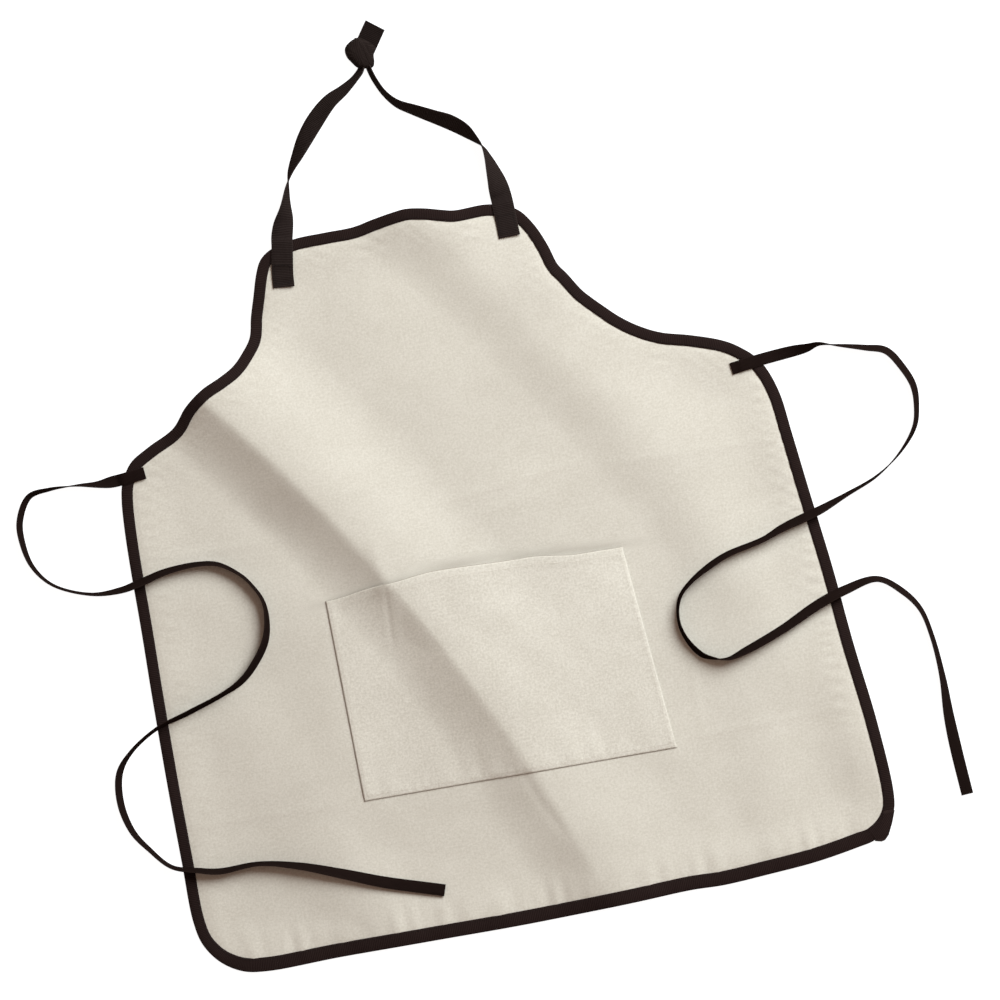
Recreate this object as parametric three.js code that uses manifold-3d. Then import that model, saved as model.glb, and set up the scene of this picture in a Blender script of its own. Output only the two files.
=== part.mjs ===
// A canvas bib work apron, laid face up on a floor: one cut panel with a patch pocket,
// black grosgrain binding round its edge, webbing neck straps knotted together, and two waist ties.
// Millimetres. X runs across the apron, Y from the hem up to the bib, Z up from the floor.
// While it is laid out, x = 0 is the hem's middle and y = 0 the hem line. The last step centres it.

import * as THREE from "three";
import { mergeVertices } from "three/addons/utils/BufferGeometryUtils.js";
import Module from "manifold-3d";

// Driving dimensions of the panel
const HEM_WIDTH = 712;
const SKIRT_LENGTH = 518;
const ARMHOLE_RISE = 112;
const BIB_RISE = 85;
const BIB_WIDTH = 290;
const BIB_SHIFT = -24;
const CORNER_RADIUS_LEFT = 63;
const CORNER_RADIUS_RIGHT = 46;
const CANVAS_THICKNESS = 1.2;

// Driving dimensions of what is sewn to it
const BINDING_WIDTH = 12.6;
const BINDING_THICKNESS = 1.0;
const POCKET_WIDTH = 305;
const POCKET_DEPTH = 205;
const POCKET_SHIFT = -11;
const POCKET_RISE = 150;
const POCKET_THICKNESS = 1.0;
const MOUTH_HEM = 12;
const MOUTH_LIFT = 11;
const WEBBING_WIDTH = 21.5;
const WEBBING_THICKNESS = 1.5;
const TIE_WIDTH = 12;
const TIE_THICKNESS = 1.2;
const STRAP_REACH = 257;
const KNOT_LENGTH = 32;
const KNOT_WIDTH = 26;
const KNOT_HEIGHT = 14;
const TAIL_LENGTH = 20;
const TAIL_TURN = -36;
const TAIL_DROP = 8;

// How the cloth and the tapes lie, the clearance between pieces that touch, and between lengths of binding
const FOLD_HEIGHT = 14;
const FOLD_REACH = 60;
const TAPE_SLOPE = 0.3;
const GAP = 0.3;
const BUTT_GAP = 0.36;

const HALF_HEM = HEM_WIDTH / 2;
const HALF_BIB = BIB_WIDTH / 2;
const BODY_LENGTH = SKIRT_LENGTH + ARMHOLE_RISE + BIB_RISE;
const BIB_BASE = SKIRT_LENGTH + ARMHOLE_RISE;

// Skirt sides: height as a share of SKIRT_LENGTH, each side's place as a share of half the hem width
const SKIRT_SIDES = [
  { up: 0.251, left: 0.998, right: 0.994 },
  { up: 0.405, left: 0.994, right: 0.974 },
  { up: 0.56, left: 0.987, right: 0.959 },
  { up: 0.714, left: 0.978, right: 0.938 },
  { up: 0.83, left: 0.973, right: 0.923 },
  { up: 0.907, left: 0.967, right: 0.912 },
  { up: 0.959, left: 0.959, right: 0.889 },
  { up: 0.988, left: 0.949, right: 0.862 },
];

// Hem: across as a share of half the hem width, rise above the hem line as a share of SKIRT_LENGTH
const HEM_LINE = [
  { across: -0.61, rise: 0.0105 },
  { across: -0.34, rise: 0.0052 },
  { across: -0.06, rise: 0 },
  { across: 0.22, rise: 0 },
  { across: 0.39, rise: 0.0012 },
  { across: 0.48, rise: -0.0021 },
  { across: 0.62, rise: 0.0012 },
  { across: 0.75, rise: 0.0062 },
];
const HEM_RISE_LEFT = 0.0125;
const HEM_RISE_RIGHT = 0.0174;

// Directions, in degrees from +X, of the points that round the lower corners
const LEFT_CORNER_START = [225, 247.5, 270];
const LEFT_CORNER_CLOSE = [180, 202.5];
const RIGHT_CORNER = [270, 292.5, 315, 337.5, 360];

// Armholes: out from the bib's foot to the skirt as a share of that step, up as a share of ARMHOLE_RISE
const ARMHOLE_LEFT = [
  { out: 0.958, up: 0.052 },
  { out: 0.906, up: 0.135 },
  { out: 0.78, up: 0.231 },
  { out: 0.601, up: 0.348 },
  { out: 0.496, up: 0.506 },
  { out: 0.367, up: 0.631 },
  { out: 0.237, up: 0.708 },
  { out: 0.14, up: 0.781 },
  { out: 0.063, up: 0.884 },
  { out: 0, up: 1 },
];
const ARMHOLE_RIGHT = [
  { out: 0.957, up: 0.042 },
  { out: 0.904, up: 0.097 },
  { out: 0.827, up: 0.154 },
  { out: 0.67, up: 0.237 },
  { out: 0.494, up: 0.315 },
  { out: 0.37, up: 0.411 },
  { out: 0.265, up: 0.527 },
  { out: 0.185, up: 0.643 },
  { out: 0.123, up: 0.738 },
  { out: 0.074, up: 0.821 },
  { out: 0, up: 1 },
];
const ARMHOLE_FOOT = { left: -1.099, right: 1.131 };
const WAIST_EDGE = { left: -0.949, right: 0.848 };

// Bib: across as a share of half the bib width, up as a share of BIB_RISE
const BIB_LEFT = [
  { across: -1.062, up: 0.235 },
  { across: -1.016, up: 0.471 },
  { across: -0.97, up: 0.706 },
  { across: -0.929, up: 0.851 },
];
const BIB_TOP = [
  { across: -0.893, up: 0.915 },
  { across: -0.833, up: 0.971 },
  { across: -0.668, up: 1.035 },
  { across: -0.441, up: 1.038 },
  { across: -0.248, up: 1.035 },
  { across: -0.11, up: 1.074 },
  { across: 0.028, up: 1.106 },
  { across: 0.131, up: 1.118 },
  { across: 0.255, up: 1.082 },
  { across: 0.372, up: 1.024 },
  { across: 0.455, up: 0.988 },
  { across: 0.676, up: 0.982 },
  { across: 0.8, up: 0.929 },
  { across: 0.873, up: 0.867 },
  { across: 0.917, up: 0.8 },
];
const BIB_RIGHT = [
  { across: 1.084, up: 0.122 },
  { across: 1.048, up: 0.341 },
  { across: 1.014, up: 0.507 },
  { across: 0.977, up: 0.644 },
];

// Pocket corners: across as a share of POCKET_WIDTH, up as a share of POCKET_DEPTH
const POCKET_CORNERS = {
  lowerLeft: { across: -0.502, up: 0.015 },
  lowerRight: { across: 0.538, up: -0.034 },
  upperLeft: { across: -0.495, up: 1.01 },
  upperRight: { across: 0.495, up: 0.98 },
};

// The mouth bows up from a straight line: share along the mouth, rise as a share of POCKET_DEPTH
const MOUTH_BOW = [
  { along: 0, rise: 0 },
  { along: 0.2, rise: 0.03 },
  { along: 0.37, rise: 0.05 },
  { along: 0.68, rise: 0.034 },
  { along: 0.86, rise: 0.004 },
  { along: 1, rise: 0 },
];

// Folds: x as a share of half the hem width and y as a share of BODY_LENGTH at the start, bend and end,
// heights as shares of FOLD_HEIGHT, and the reach of each flank as a share of FOLD_REACH
const FOLDS = [
  {
    start: { x: -0.68, y: 0.812 },
    bend: { x: -0.184, y: 0.45 },
    end: { x: 0.183, y: 0 },
    startHeight: 1,
    endHeight: 0.5,
    lowFlank: 0.55,
    highFlank: 1.2,
  },
  {
    start: { x: -0.079, y: 1.01 },
    bend: { x: 0.43, y: 0.722 },
    end: { x: 0.871, y: 0.294 },
    startHeight: 0.5,
    endHeight: 0.1,
    lowFlank: 0.55,
    highFlank: 1.1,
  },
  {
    start: { x: -0.028, y: 0.476 },
    bend: { x: 0.211, y: 0.343 },
    end: { x: 0.393, y: 0.203 },
    startHeight: 0.15,
    endHeight: 0.3,
    lowFlank: 0.5,
    highFlank: 0.8,
  },
];

// Waist ties, from the sewn end to the cut end: plan points chosen by hand, and the tape's roll in degrees
const LEFT_TIE_ROUTE = [
  [-313, 519, 0],
  [-340, 517, 0],
  [-360, 517, 54],
  [-379, 520, 73],
  [-410, 522, 90],
  [-431, 519, 108],
  [-445, 497, 122],
  [-447, 476, 113],
  [-442, 450, 108],
  [-426, 428, 112],
  [-390, 411, 125],
  [-360, 409, 128],
  [-336, 413, 139],
  [-313, 418, 136],
  [-280, 419, 120],
  [-260, 415, 118],
  [-240, 400, 115],
  [-231, 388, 112],
  [-223, 370, 106],
  [-223, 350, 112],
  [-229, 330, 122],
  [-243, 311, 124],
  [-260, 296, 120],
  [-280, 287, 110],
  [-320, 275, 112],
  [-353, 266, 104],
  [-383, 248, 106],
  [-398, 230, 120],
  [-403, 200, 122],
  [-397, 170, 116],
  [-384, 149, 108],
  [-366, 128, 105],
  [-340, 119, 112],
  [-320, 114, 117],
  [-280, 113.5, 108],
  [-240, 103, 123],
  [-200, 87, 142],
  [-160, 70, 160],
  [-103, 50, 172],
];
const RIGHT_TIE_ROUTE = [
  [282, 503, 0],
  [310, 506, 0],
  [343, 508, 12],
  [360, 508.5, 44],
  [372, 510, 84],
  [390, 505, 104],
  [417, 497, 118],
  [437, 490, 122],
  [450, 470, 123],
  [457, 450, 113],
  [456, 430, 112],
  [450, 410, 102],
  [430, 387, 104],
  [403, 369, 102],
  [370, 357, 100],
  [340, 347, 132],
  [320, 342, 134],
  [300, 337, 126],
  [280, 330, 114],
  [240, 322, 117],
  [220, 314, 118],
  [200, 303, 106],
  [186, 290, 102],
  [180, 270, 99],
  [183, 250, 106],
  [195, 230, 118],
  [205, 224, 104],
  [220, 220, 80],
  [240, 224.5, 52],
  [280, 238, 44],
  [320, 255, 30],
  [350, 264, 40],
  [383, 268, 62],
  [405, 251, 60],
  [419, 230, 66],
  [425, 200, 67],
  [427, 160, 58],
  [425.5, 120, 30],
  [426, 85, 5],
  [428, 39, 0],
];
const TIE_STEPS = 44;

// Neck straps, from the sewn end to the knot: across as a share of half the bib width, up as a share of
// STRAP_REACH above the bib's foot, roll in degrees, width as a share of the webbing's
const LEFT_STRAP_ROUTE = [
  { across: -0.797, up: 0.167, roll: 0, width: 1 },
  { across: -0.786, up: 0.222, roll: 0, width: 1 },
  { across: -0.752, up: 0.323, roll: 0, width: 1 },
  { across: -0.741, up: 0.358, roll: 6, width: 1 },
  { across: -0.71, up: 0.412, roll: 28, width: 1 },
  { across: -0.676, up: 0.467, roll: 60, width: 1 },
  { across: -0.634, up: 0.545, roll: 84, width: 1 },
  { across: -0.593, up: 0.599, roll: 104, width: 1 },
  { across: -0.517, up: 0.661, roll: 124, width: 1 },
  { across: -0.441, up: 0.72, roll: 140, width: 1 },
  { across: -0.352, up: 0.778, roll: 147, width: 0.98 },
  { across: -0.234, up: 0.837, roll: 138, width: 0.94 },
  { across: -0.124, up: 0.879, roll: 124, width: 0.86 },
  { across: -0.055, up: 0.907, roll: 112, width: 0.74 },
  { across: -0.01, up: 0.934, roll: 104, width: 0.6 },
  { across: 0.014, up: 0.961, roll: 98, width: 0.5 },
];
const RIGHT_STRAP_ROUTE = [
  { across: 0.797, up: 0.183, roll: 0, width: 1 },
  { across: 0.797, up: 0.284, roll: 0, width: 1 },
  { across: 0.796, up: 0.327, roll: 0, width: 1 },
  { across: 0.79, up: 0.381, roll: 20, width: 1 },
  { across: 0.779, up: 0.432, roll: 44, width: 1 },
  { across: 0.759, up: 0.506, roll: 72, width: 1 },
  { across: 0.741, up: 0.545, roll: 86, width: 1 },
  { across: 0.697, up: 0.584, roll: 106, width: 1 },
  { across: 0.641, up: 0.623, roll: 124, width: 1 },
  { across: 0.552, up: 0.665, roll: 134, width: 1 },
  { across: 0.448, up: 0.7, roll: 130, width: 0.98 },
  { across: 0.331, up: 0.739, roll: 124, width: 0.94 },
  { across: 0.221, up: 0.778, roll: 116, width: 0.88 },
  { across: 0.152, up: 0.825, roll: 108, width: 0.8 },
  { across: 0.11, up: 0.875, roll: 104, width: 0.7 },
  { across: 0.086, up: 0.918, roll: 100, width: 0.56 },
  { across: 0.072, up: 0.961, roll: 96, width: 0.5 },
];
const STRAP_STEPS = 24;
const SLOT_STATIONS = 4;

// Knot: its place across as a share of half the bib width, at the straps' full reach. Its lobes: length,
// width and height as shares of the knot's own, their middles as shares of its width and length from that
// place, and their turn in degrees
const KNOT_ACROSS = 0.0345;
const KNOT_LOBES = [
  { length: 0.95, width: 0.98, height: 1, x: -0.05, y: 0.09, turn: 28 },
  { length: 0.78, width: 0.66, height: 0.9, x: 0.24, y: -0.13, turn: -14 },
];
const TAIL_START = -0.15;
const LOBE_SIDES = 14;
const LOBE_BANDS = 8;

// Grid of the cloth: columns run up the apron and rows across it, with the pocket's edges on lines of both
const OUTER_SHARES = [0, 0.06, 0.13, 0.22, 0.33, 0.46, 0.6, 0.73, 0.86];
const POCKET_COLUMNS = 14;
const LOWER_SHARES = [0, 0.1, 0.22, 0.38, 0.58, 0.79];
const POCKET_ROWS = 9;
const BELLY_ROWS = 6;
const ARMHOLE_ROWS = 11;
const BIB_ROWS = 4;
const BELLY_TOP = 0.965;
const TOP_LINES = [0.25, 0.78];
const OUTLINE_SAMPLES = 2400;
const CREST_SAMPLES = 40;

// Roundness of the binding's folded edge as a share of its thickness, and the powers by which the pocket
// stands off across and towards its mouth
const EDGE_ROUND = 0.7;
const LIFT_ACROSS = 0.7;
const LIFT_UP = 0.8;

// How finely the tapes feel for what lies under them
const RELIEF_CELL = 25;
const ROUTE_DIVISIONS = 1000;
const FEELS_PER_STEP = 8;
const FEELS_ACROSS = [-1, -0.5, 0, 0.5, 1];

const lerp = THREE.MathUtils.lerp;
const radians = THREE.MathUtils.degToRad;
const shares = (count) => Array.from({ length: count }, (_, k) => k / count);

// Points of the outline, counter-clockwise from the middle of the lower left corner
function outlinePoints() {
  const left = (row) => new THREE.Vector3(-row.left * HALF_HEM, row.up * SKIRT_LENGTH, 0);
  const right = (row) => new THREE.Vector3(row.right * HALF_HEM, row.up * SKIRT_LENGTH, 0);
  const bib = (row) =>
    new THREE.Vector3(BIB_SHIFT + row.across * HALF_BIB, BIB_BASE + row.up * BIB_RISE, 0);
  const armhole = (side) => (row) => {
    const foot = BIB_SHIFT + ARMHOLE_FOOT[side] * HALF_BIB;
    const waist = WAIST_EDGE[side] * HALF_HEM;
    return new THREE.Vector3(lerp(foot, waist, row.out), SKIRT_LENGTH + row.up * ARMHOLE_RISE, 0);
  };
  const hem = HEM_LINE.map(
    (row) => new THREE.Vector3(row.across * HALF_HEM, row.rise * SKIRT_LENGTH, 0),
  );
  const corner = (radius, side, rise, degrees) => {
    const angle = radians(degrees);
    const x = side * (HALF_HEM - radius) + radius * Math.cos(angle);
    return new THREE.Vector3(x, rise * SKIRT_LENGTH + radius * (1 + Math.sin(angle)), 0);
  };
  const leftCorner = (degrees) => corner(CORNER_RADIUS_LEFT, -1, HEM_RISE_LEFT, degrees);
  const rightCorner = (degrees) => corner(CORNER_RADIUS_RIGHT, 1, HEM_RISE_RIGHT, degrees);
  const lowerLeft = LEFT_CORNER_START.map(leftCorner);
  const lowerRight = RIGHT_CORNER.map(rightCorner);
  return {
    points: [
      ...lowerLeft,
      ...hem,
      ...lowerRight,
      ...SKIRT_SIDES.map(right),
      ...ARMHOLE_RIGHT.map(armhole("right")),
      ...BIB_RIGHT.map(bib),
      ...BIB_TOP.toReversed().map(bib),
      ...BIB_LEFT.toReversed().map(bib),
      ...ARMHOLE_LEFT.toReversed().map(armhole("left")),
      ...SKIRT_SIDES.toReversed().map(left),
      ...LEFT_CORNER_CLOSE.map(leftCorner),
    ],
    corners: [lowerLeft[0], lowerRight[2], bib(BIB_TOP.at(-1)), bib(BIB_TOP[0])],
  };
}

// The outline as four fine polylines: hem, right side, bib top and left side, in that order
function outlineEdges() {
  const { points, corners } = outlinePoints();
  const curve = new THREE.CatmullRomCurve3(points, true, "centripetal");
  const fine = curve.getPoints(OUTLINE_SAMPLES).slice(0, -1);
  const nearest = (corner) =>
    fine.reduce((best, p, k) => (p.distanceTo(corner) < fine[best].distanceTo(corner) ? k : best), 0);
  const marks = corners.map(nearest);
  return marks.map((from, k) => {
    const to = marks[(k + 1) % marks.length];
    const count = (to - from + fine.length) % fine.length;
    return Array.from({ length: count + 1 }, (_, n) => fine[(from + n) % fine.length]);
  });
}

// A station of the outline: its point and the inward direction, where axis reaches a value along an edge
function stationAt(edge, axis, value) {
  const rising = edge.at(-1)[axis] > edge[0][axis];
  let k = edge.findIndex((p) => (rising ? p[axis] >= value : p[axis] <= value));
  k = THREE.MathUtils.clamp(k < 0 ? edge.length - 1 : k, 1, edge.length - 1);
  const before = edge[k - 1];
  const after = edge[k];
  const span = after[axis] - before[axis];
  const share = THREE.MathUtils.clamp(span === 0 ? 0 : (value - before[axis]) / span, 0, 1);
  const way = new THREE.Vector3().subVectors(after, before).normalize();
  return {
    point: new THREE.Vector3().lerpVectors(before, after, share),
    inward: new THREE.Vector3(-way.y, way.x, 0),
  };
}

// The plan place at a depth inside the outline
function inside(station, depth) {
  return station.point.clone().addScaledVector(station.inward, depth);
}

// The pocket's corners in plan
function pocketCorner(name) {
  const row = POCKET_CORNERS[name];
  const x = POCKET_SHIFT + row.across * POCKET_WIDTH;
  return new THREE.Vector3(x, POCKET_RISE + row.up * POCKET_DEPTH, 0);
}

// How far the mouth bows up at a share along it
function mouthBow(along) {
  const k = MOUTH_BOW.findIndex((row) => row.along >= along);
  if (k < 1) return 0;
  const before = MOUTH_BOW[k - 1];
  const after = MOUTH_BOW[k];
  const share = (along - before.along) / (after.along - before.along);
  return POCKET_DEPTH * lerp(before.rise, after.rise, THREE.MathUtils.smoothstep(share, 0, 1));
}

// Height that the folds add to the cloth at a plan point
function foldHeight(x, y) {
  let height = 0;
  for (const fold of FOLDS) {
    const ends = [fold.start, fold.bend, fold.end].map(
      (p) => new THREE.Vector2(p.x * HALF_HEM, p.y * BODY_LENGTH),
    );
    const crest = new THREE.QuadraticBezierCurve(...ends);
    let nearest = { distance: Infinity, along: 0, side: 1 };
    for (let k = 0; k <= CREST_SAMPLES; k += 1) {
      const along = k / CREST_SAMPLES;
      const at = crest.getPoint(along);
      const way = crest.getTangent(along);
      const dx = x - at.x;
      const dy = y - at.y;
      const distance = Math.hypot(dx, dy);
      const side = Math.sign(dy * way.x - dx * way.y);
      if (distance < nearest.distance) nearest = { distance, along, side };
    }
    const reach = FOLD_REACH * (nearest.side < 0 ? fold.lowFlank : fold.highFlank);
    const across = THREE.MathUtils.clamp(nearest.distance / reach, 0, 1);
    const top = FOLD_HEIGHT * lerp(fold.startHeight, fold.endHeight, nearest.along);
    height += top * Math.cos((across * Math.PI) / 2) ** 2;
  }
  return height;
}

// The cloth's middle surface: on the floor inside, and lifted at its rim by the binding's lower leg
function clothHeight(point, atRim) {
  const rim = atRim ? BINDING_THICKNESS + GAP : 0;
  return CANVAS_THICKNESS / 2 + rim + foldHeight(point.x, point.y);
}

// Column shares between the outline and the pocket's edge lines, the same for every row
function columnPlaces(left, pocketLeft, pocketRight, right) {
  const outer = OUTER_SHARES;
  return [
    ...outer.map((s) => lerp(left, pocketLeft, s)),
    ...shares(POCKET_COLUMNS).map((s) => lerp(pocketLeft, pocketRight, s)),
    pocketRight,
    ...outer.toReversed().slice(0, -1).map((s) => lerp(right, pocketRight, s)),
    right,
  ];
}

// Fills a block of rows between four edges by blending them
function fillBlock(bottom, top, left, right) {
  const rows = [];
  const first = bottom[0];
  const last = bottom.at(-1);
  const height = top[0].y - first.y;
  left.forEach((leftPoint, j) => {
    const t = THREE.MathUtils.clamp((leftPoint.y - first.y) / height, 0, 1);
    rows.push(
      bottom.map((low, i) => {
        const s = i / (bottom.length - 1);
        const blend = (axis) => {
          const across = lerp(leftPoint[axis], right[j][axis], s);
          const lowPart = low[axis] - lerp(first[axis], last[axis], s);
          const highPart = top[i][axis] - lerp(top[0][axis], top.at(-1)[axis], s);
          return across + (1 - t) * lowPart + t * highPart;
        };
        return new THREE.Vector3(blend("x"), blend("y"), 0);
      }),
    );
  });
  return rows;
}

// Lays out the cloth's grid and the outline's stations that it hangs from
function layOutCloth() {
  const [hem, rightSide, bibTop, leftSide] = outlineEdges();
  const low = { left: pocketCorner("lowerLeft"), right: pocketCorner("lowerRight") };
  const high = { left: pocketCorner("upperLeft"), right: pocketCorner("upperRight") };
  const heights = (corner, lower, mouth, top) => {
    const bellyTop = SKIRT_LENGTH * BELLY_TOP;
    const hemShare = 1 - MOUTH_HEM / (mouth - lower);
    return [
      ...LOWER_SHARES.map((s) => lerp(corner, lower, s)),
      ...shares(POCKET_ROWS).map((s) => lerp(lower, mouth, s * hemShare)),
      lerp(lower, mouth, hemShare),
      ...shares(BELLY_ROWS).map((s) => lerp(mouth, bellyTop, s)),
      ...shares(ARMHOLE_ROWS).map((s) => lerp(bellyTop, BIB_BASE, s)),
      ...shares(BIB_ROWS).map((s) => lerp(BIB_BASE, top, s)),
      top,
    ];
  };
  const rightHeights = heights(rightSide[0].y, low.right.y, high.right.y, rightSide.at(-1).y);
  const leftHeights = heights(hem[0].y, low.left.y, high.left.y, leftSide[0].y);
  const hemPlaces = columnPlaces(hem[0].x, low.left.x, low.right.x, hem.at(-1).x);
  const topLines = TOP_LINES.map((s) => lerp(bibTop.at(-1).x, bibTop[0].x, s));
  const topPlaces = columnPlaces(bibTop.at(-1).x, ...topLines, bibTop[0].x);

  const stations = {
    hem: hemPlaces.map((x) => stationAt(hem, "x", x)),
    right: rightHeights.map((y) => stationAt(rightSide, "y", y)),
    top: topPlaces.map((x) => stationAt(bibTop, "x", x)),
    left: leftHeights.map((y) => stationAt(leftSide, "y", y)),
  };
  // Neighbouring edges share one station at each corner
  stations.right[0] = stations.hem.at(-1);
  stations.top[stations.top.length - 1] = stations.right.at(-1);
  stations.left[stations.left.length - 1] = stations.top[0];
  stations.left[0] = stations.hem[0];

  const ring = (list) => list.map((station) => inside(station, BINDING_WIDTH));
  const left = ring(stations.left);
  const right = ring(stations.right);
  const lowRow = LOWER_SHARES.length;
  const mouthRow = lowRow + POCKET_ROWS + 1;

  // Rows through the pocket run straight from the outline to its edges, with the mouth's bow
  const pocketRow = (j) => {
    const q = (leftHeights[j] - low.left.y) / (high.left.y - low.left.y);
    const start = new THREE.Vector3().lerpVectors(low.left, high.left, q);
    const stop = new THREE.Vector3().lerpVectors(low.right, high.right, q);
    const xs = columnPlaces(left[j].x, start.x, stop.x, right[j].x);
    return xs.map((x) => {
      if (x < start.x) {
        const share = (x - left[j].x) / (start.x - left[j].x);
        return new THREE.Vector3(x, lerp(left[j].y, start.y, share), 0);
      }
      if (x > stop.x) {
        const share = (x - stop.x) / (right[j].x - stop.x);
        return new THREE.Vector3(x, lerp(stop.y, right[j].y, share), 0);
      }
      const along = (x - start.x) / (stop.x - start.x);
      return new THREE.Vector3(x, lerp(start.y, stop.y, along) + q ** 3 * mouthBow(along), 0);
    });
  };
  const pocketRows = [];
  for (let j = lowRow; j <= mouthRow; j += 1) pocketRows.push(pocketRow(j));
  const lowerRows = fillBlock(
    ring(stations.hem),
    pocketRows[0],
    left.slice(0, lowRow),
    right.slice(0, lowRow),
  );
  lowerRows[0] = ring(stations.hem);
  const upperRows = fillBlock(
    pocketRows.at(-1),
    ring(stations.top),
    left.slice(mouthRow + 1),
    right.slice(mouthRow + 1),
  );
  upperRows[upperRows.length - 1] = ring(stations.top);
  return { stations, rows: [...lowerRows, ...pocketRows, ...upperRows], lowRow, mouthRow };
}

// A closed body from vertices and triangles, as a geometry
class Body {
  constructor() {
    this.places = [];
    this.faces = [];
  }

  vertex(x, y, z) {
    this.places.push(x, y, z);
    return this.places.length / 3 - 1;
  }

  // A quad a, b, c, d seen counter-clockwise from outside, split along a-c or b-d
  quad(a, b, c, d, alongAC) {
    if (alongAC) this.faces.push(a, b, c, a, c, d);
    else this.faces.push(a, b, d, b, c, d);
  }

  geometry() {
    const made = new THREE.BufferGeometry();
    made.setAttribute("position", new THREE.Float32BufferAttribute(this.places, 3));
    made.setIndex(this.faces);
    made.computeVertexNormals();
    return made;
  }
}

// Whether a quad of plan points splits better from its first to its third corner
function splitsAlongFirst(a, b, c, d) {
  const area = (p, q, r) => (q.x - p.x) * (r.y - p.y) - (q.y - p.y) * (r.x - p.x);
  const first = Math.min(area(a, b, c), area(a, c, d));
  const second = Math.min(area(a, b, d), area(b, c, d));
  return first >= second;
}

// Closes a sheet of grid rows into a body with an upper and a lower surface
function sheetBody(rows, upper, lower) {
  const body = new Body();
  const place = (heightOf) =>
    rows.map((row, j) => row.map((p, i) => body.vertex(p.x, p.y, heightOf(p, i, j))));
  const tops = place(upper);
  const bottoms = place(lower);
  const lastRow = rows.length - 1;
  const lastColumn = rows[0].length - 1;
  for (let j = 0; j < lastRow; j += 1) {
    for (let i = 0; i < lastColumn; i += 1) {
      const split = splitsAlongFirst(rows[j][i], rows[j][i + 1], rows[j + 1][i + 1], rows[j + 1][i]);
      body.quad(tops[j][i], tops[j][i + 1], tops[j + 1][i + 1], tops[j + 1][i], split);
      body.quad(bottoms[j][i], bottoms[j + 1][i], bottoms[j + 1][i + 1], bottoms[j][i + 1], split);
    }
  }
  return { body, tops, bottoms };
}

// The grid indices of a sheet's border, counter-clockwise from its first corner
function borderOf(rows) {
  const lastRow = rows.length - 1;
  const lastColumn = rows[0].length - 1;
  const border = [];
  for (let i = 0; i < lastColumn; i += 1) border.push([0, i]);
  for (let j = 0; j < lastRow; j += 1) border.push([j, lastColumn]);
  for (let i = lastColumn; i > 0; i -= 1) border.push([lastRow, i]);
  for (let j = lastRow; j > 0; j -= 1) border.push([j, 0]);
  return border;
}

// The outline's stations in the same order as the border
function stationLoop(stations) {
  return [
    ...stations.hem.slice(0, -1),
    ...stations.right.slice(0, -1),
    ...stations.top.toReversed().slice(0, -1),
    ...stations.left.toReversed().slice(0, -1),
  ];
}

// The cut canvas: the grid, and a rim strip that reaches into the binding
function bodyPanel(cloth) {
  const half = CANVAS_THICKNESS / 2;
  const border = borderOf(cloth.rows);
  const atRim = new Set(border.map(([j, i]) => `${j},${i}`));
  const middle = (p, i, j) => clothHeight(p, atRim.has(`${j},${i}`));
  const { body, tops, bottoms } = sheetBody(
    cloth.rows,
    (p, i, j) => middle(p, i, j) + half,
    (p, i, j) => middle(p, i, j) - half,
  );
  const loop = stationLoop(cloth.stations);
  const edge = loop.map((station) => {
    const p = inside(station, BINDING_THICKNESS + GAP);
    const z = clothHeight(p, true);
    return [body.vertex(p.x, p.y, z + half), body.vertex(p.x, p.y, z - half)];
  });
  border.forEach(([j, i], k) => {
    const next = (k + 1) % border.length;
    const [nextRow, nextColumn] = border[next];
    const [topA, lowA] = edge[k];
    const [topB, lowB] = edge[next];
    body.quad(topA, topB, tops[nextRow][nextColumn], tops[j][i], true);
    body.quad(lowA, bottoms[j][i], bottoms[nextRow][nextColumn], lowB, true);
    body.quad(lowA, lowB, topB, topA, true);
  });
  return body.geometry();
}

// A loft through closed sections of equal length, capped at both ends. The quads of the sides that
// are named in turned are split along their other diagonal.
function loftBody(sections, turned = []) {
  const body = new Body();
  const rings = sections.map((section) => section.map((p) => body.vertex(p.x, p.y, p.z)));
  const count = rings[0].length;
  for (let k = 0; k < rings.length - 1; k += 1) {
    for (let n = 0; n < count; n += 1) {
      const m = (n + 1) % count;
      const split = turned.includes(n);
      body.quad(rings[k][n], rings[k][m], rings[k + 1][m], rings[k + 1][n], split);
    }
  }
  const cap = (ring, section, flip) => {
    const flat = sectionPlane(section);
    for (const [a, b, c] of THREE.ShapeUtils.triangulateShape(flat, [])) {
      if (flip) body.faces.push(ring[a], ring[c], ring[b]);
      else body.faces.push(ring[a], ring[b], ring[c]);
    }
  };
  cap(rings[0], sections[0], true);
  cap(rings.at(-1), sections.at(-1), false);
  return body.geometry();
}

// A section's points in its own plane, for triangulating its cap
function sectionPlane(section) {
  const origin = section[0];
  const along = new THREE.Vector3().subVectors(section[1], origin).normalize();
  const normal = new THREE.Vector3();
  section.forEach((p, k) => {
    const next = section[(k + 1) % section.length];
    normal.add(new THREE.Vector3().crossVectors(p, next));
  });
  normal.normalize();
  const up = new THREE.Vector3().crossVectors(normal, along);
  return section.map((p) => {
    const offset = new THREE.Vector3().subVectors(p, origin);
    return new THREE.Vector2(offset.dot(along), offset.dot(up));
  });
}

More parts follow.
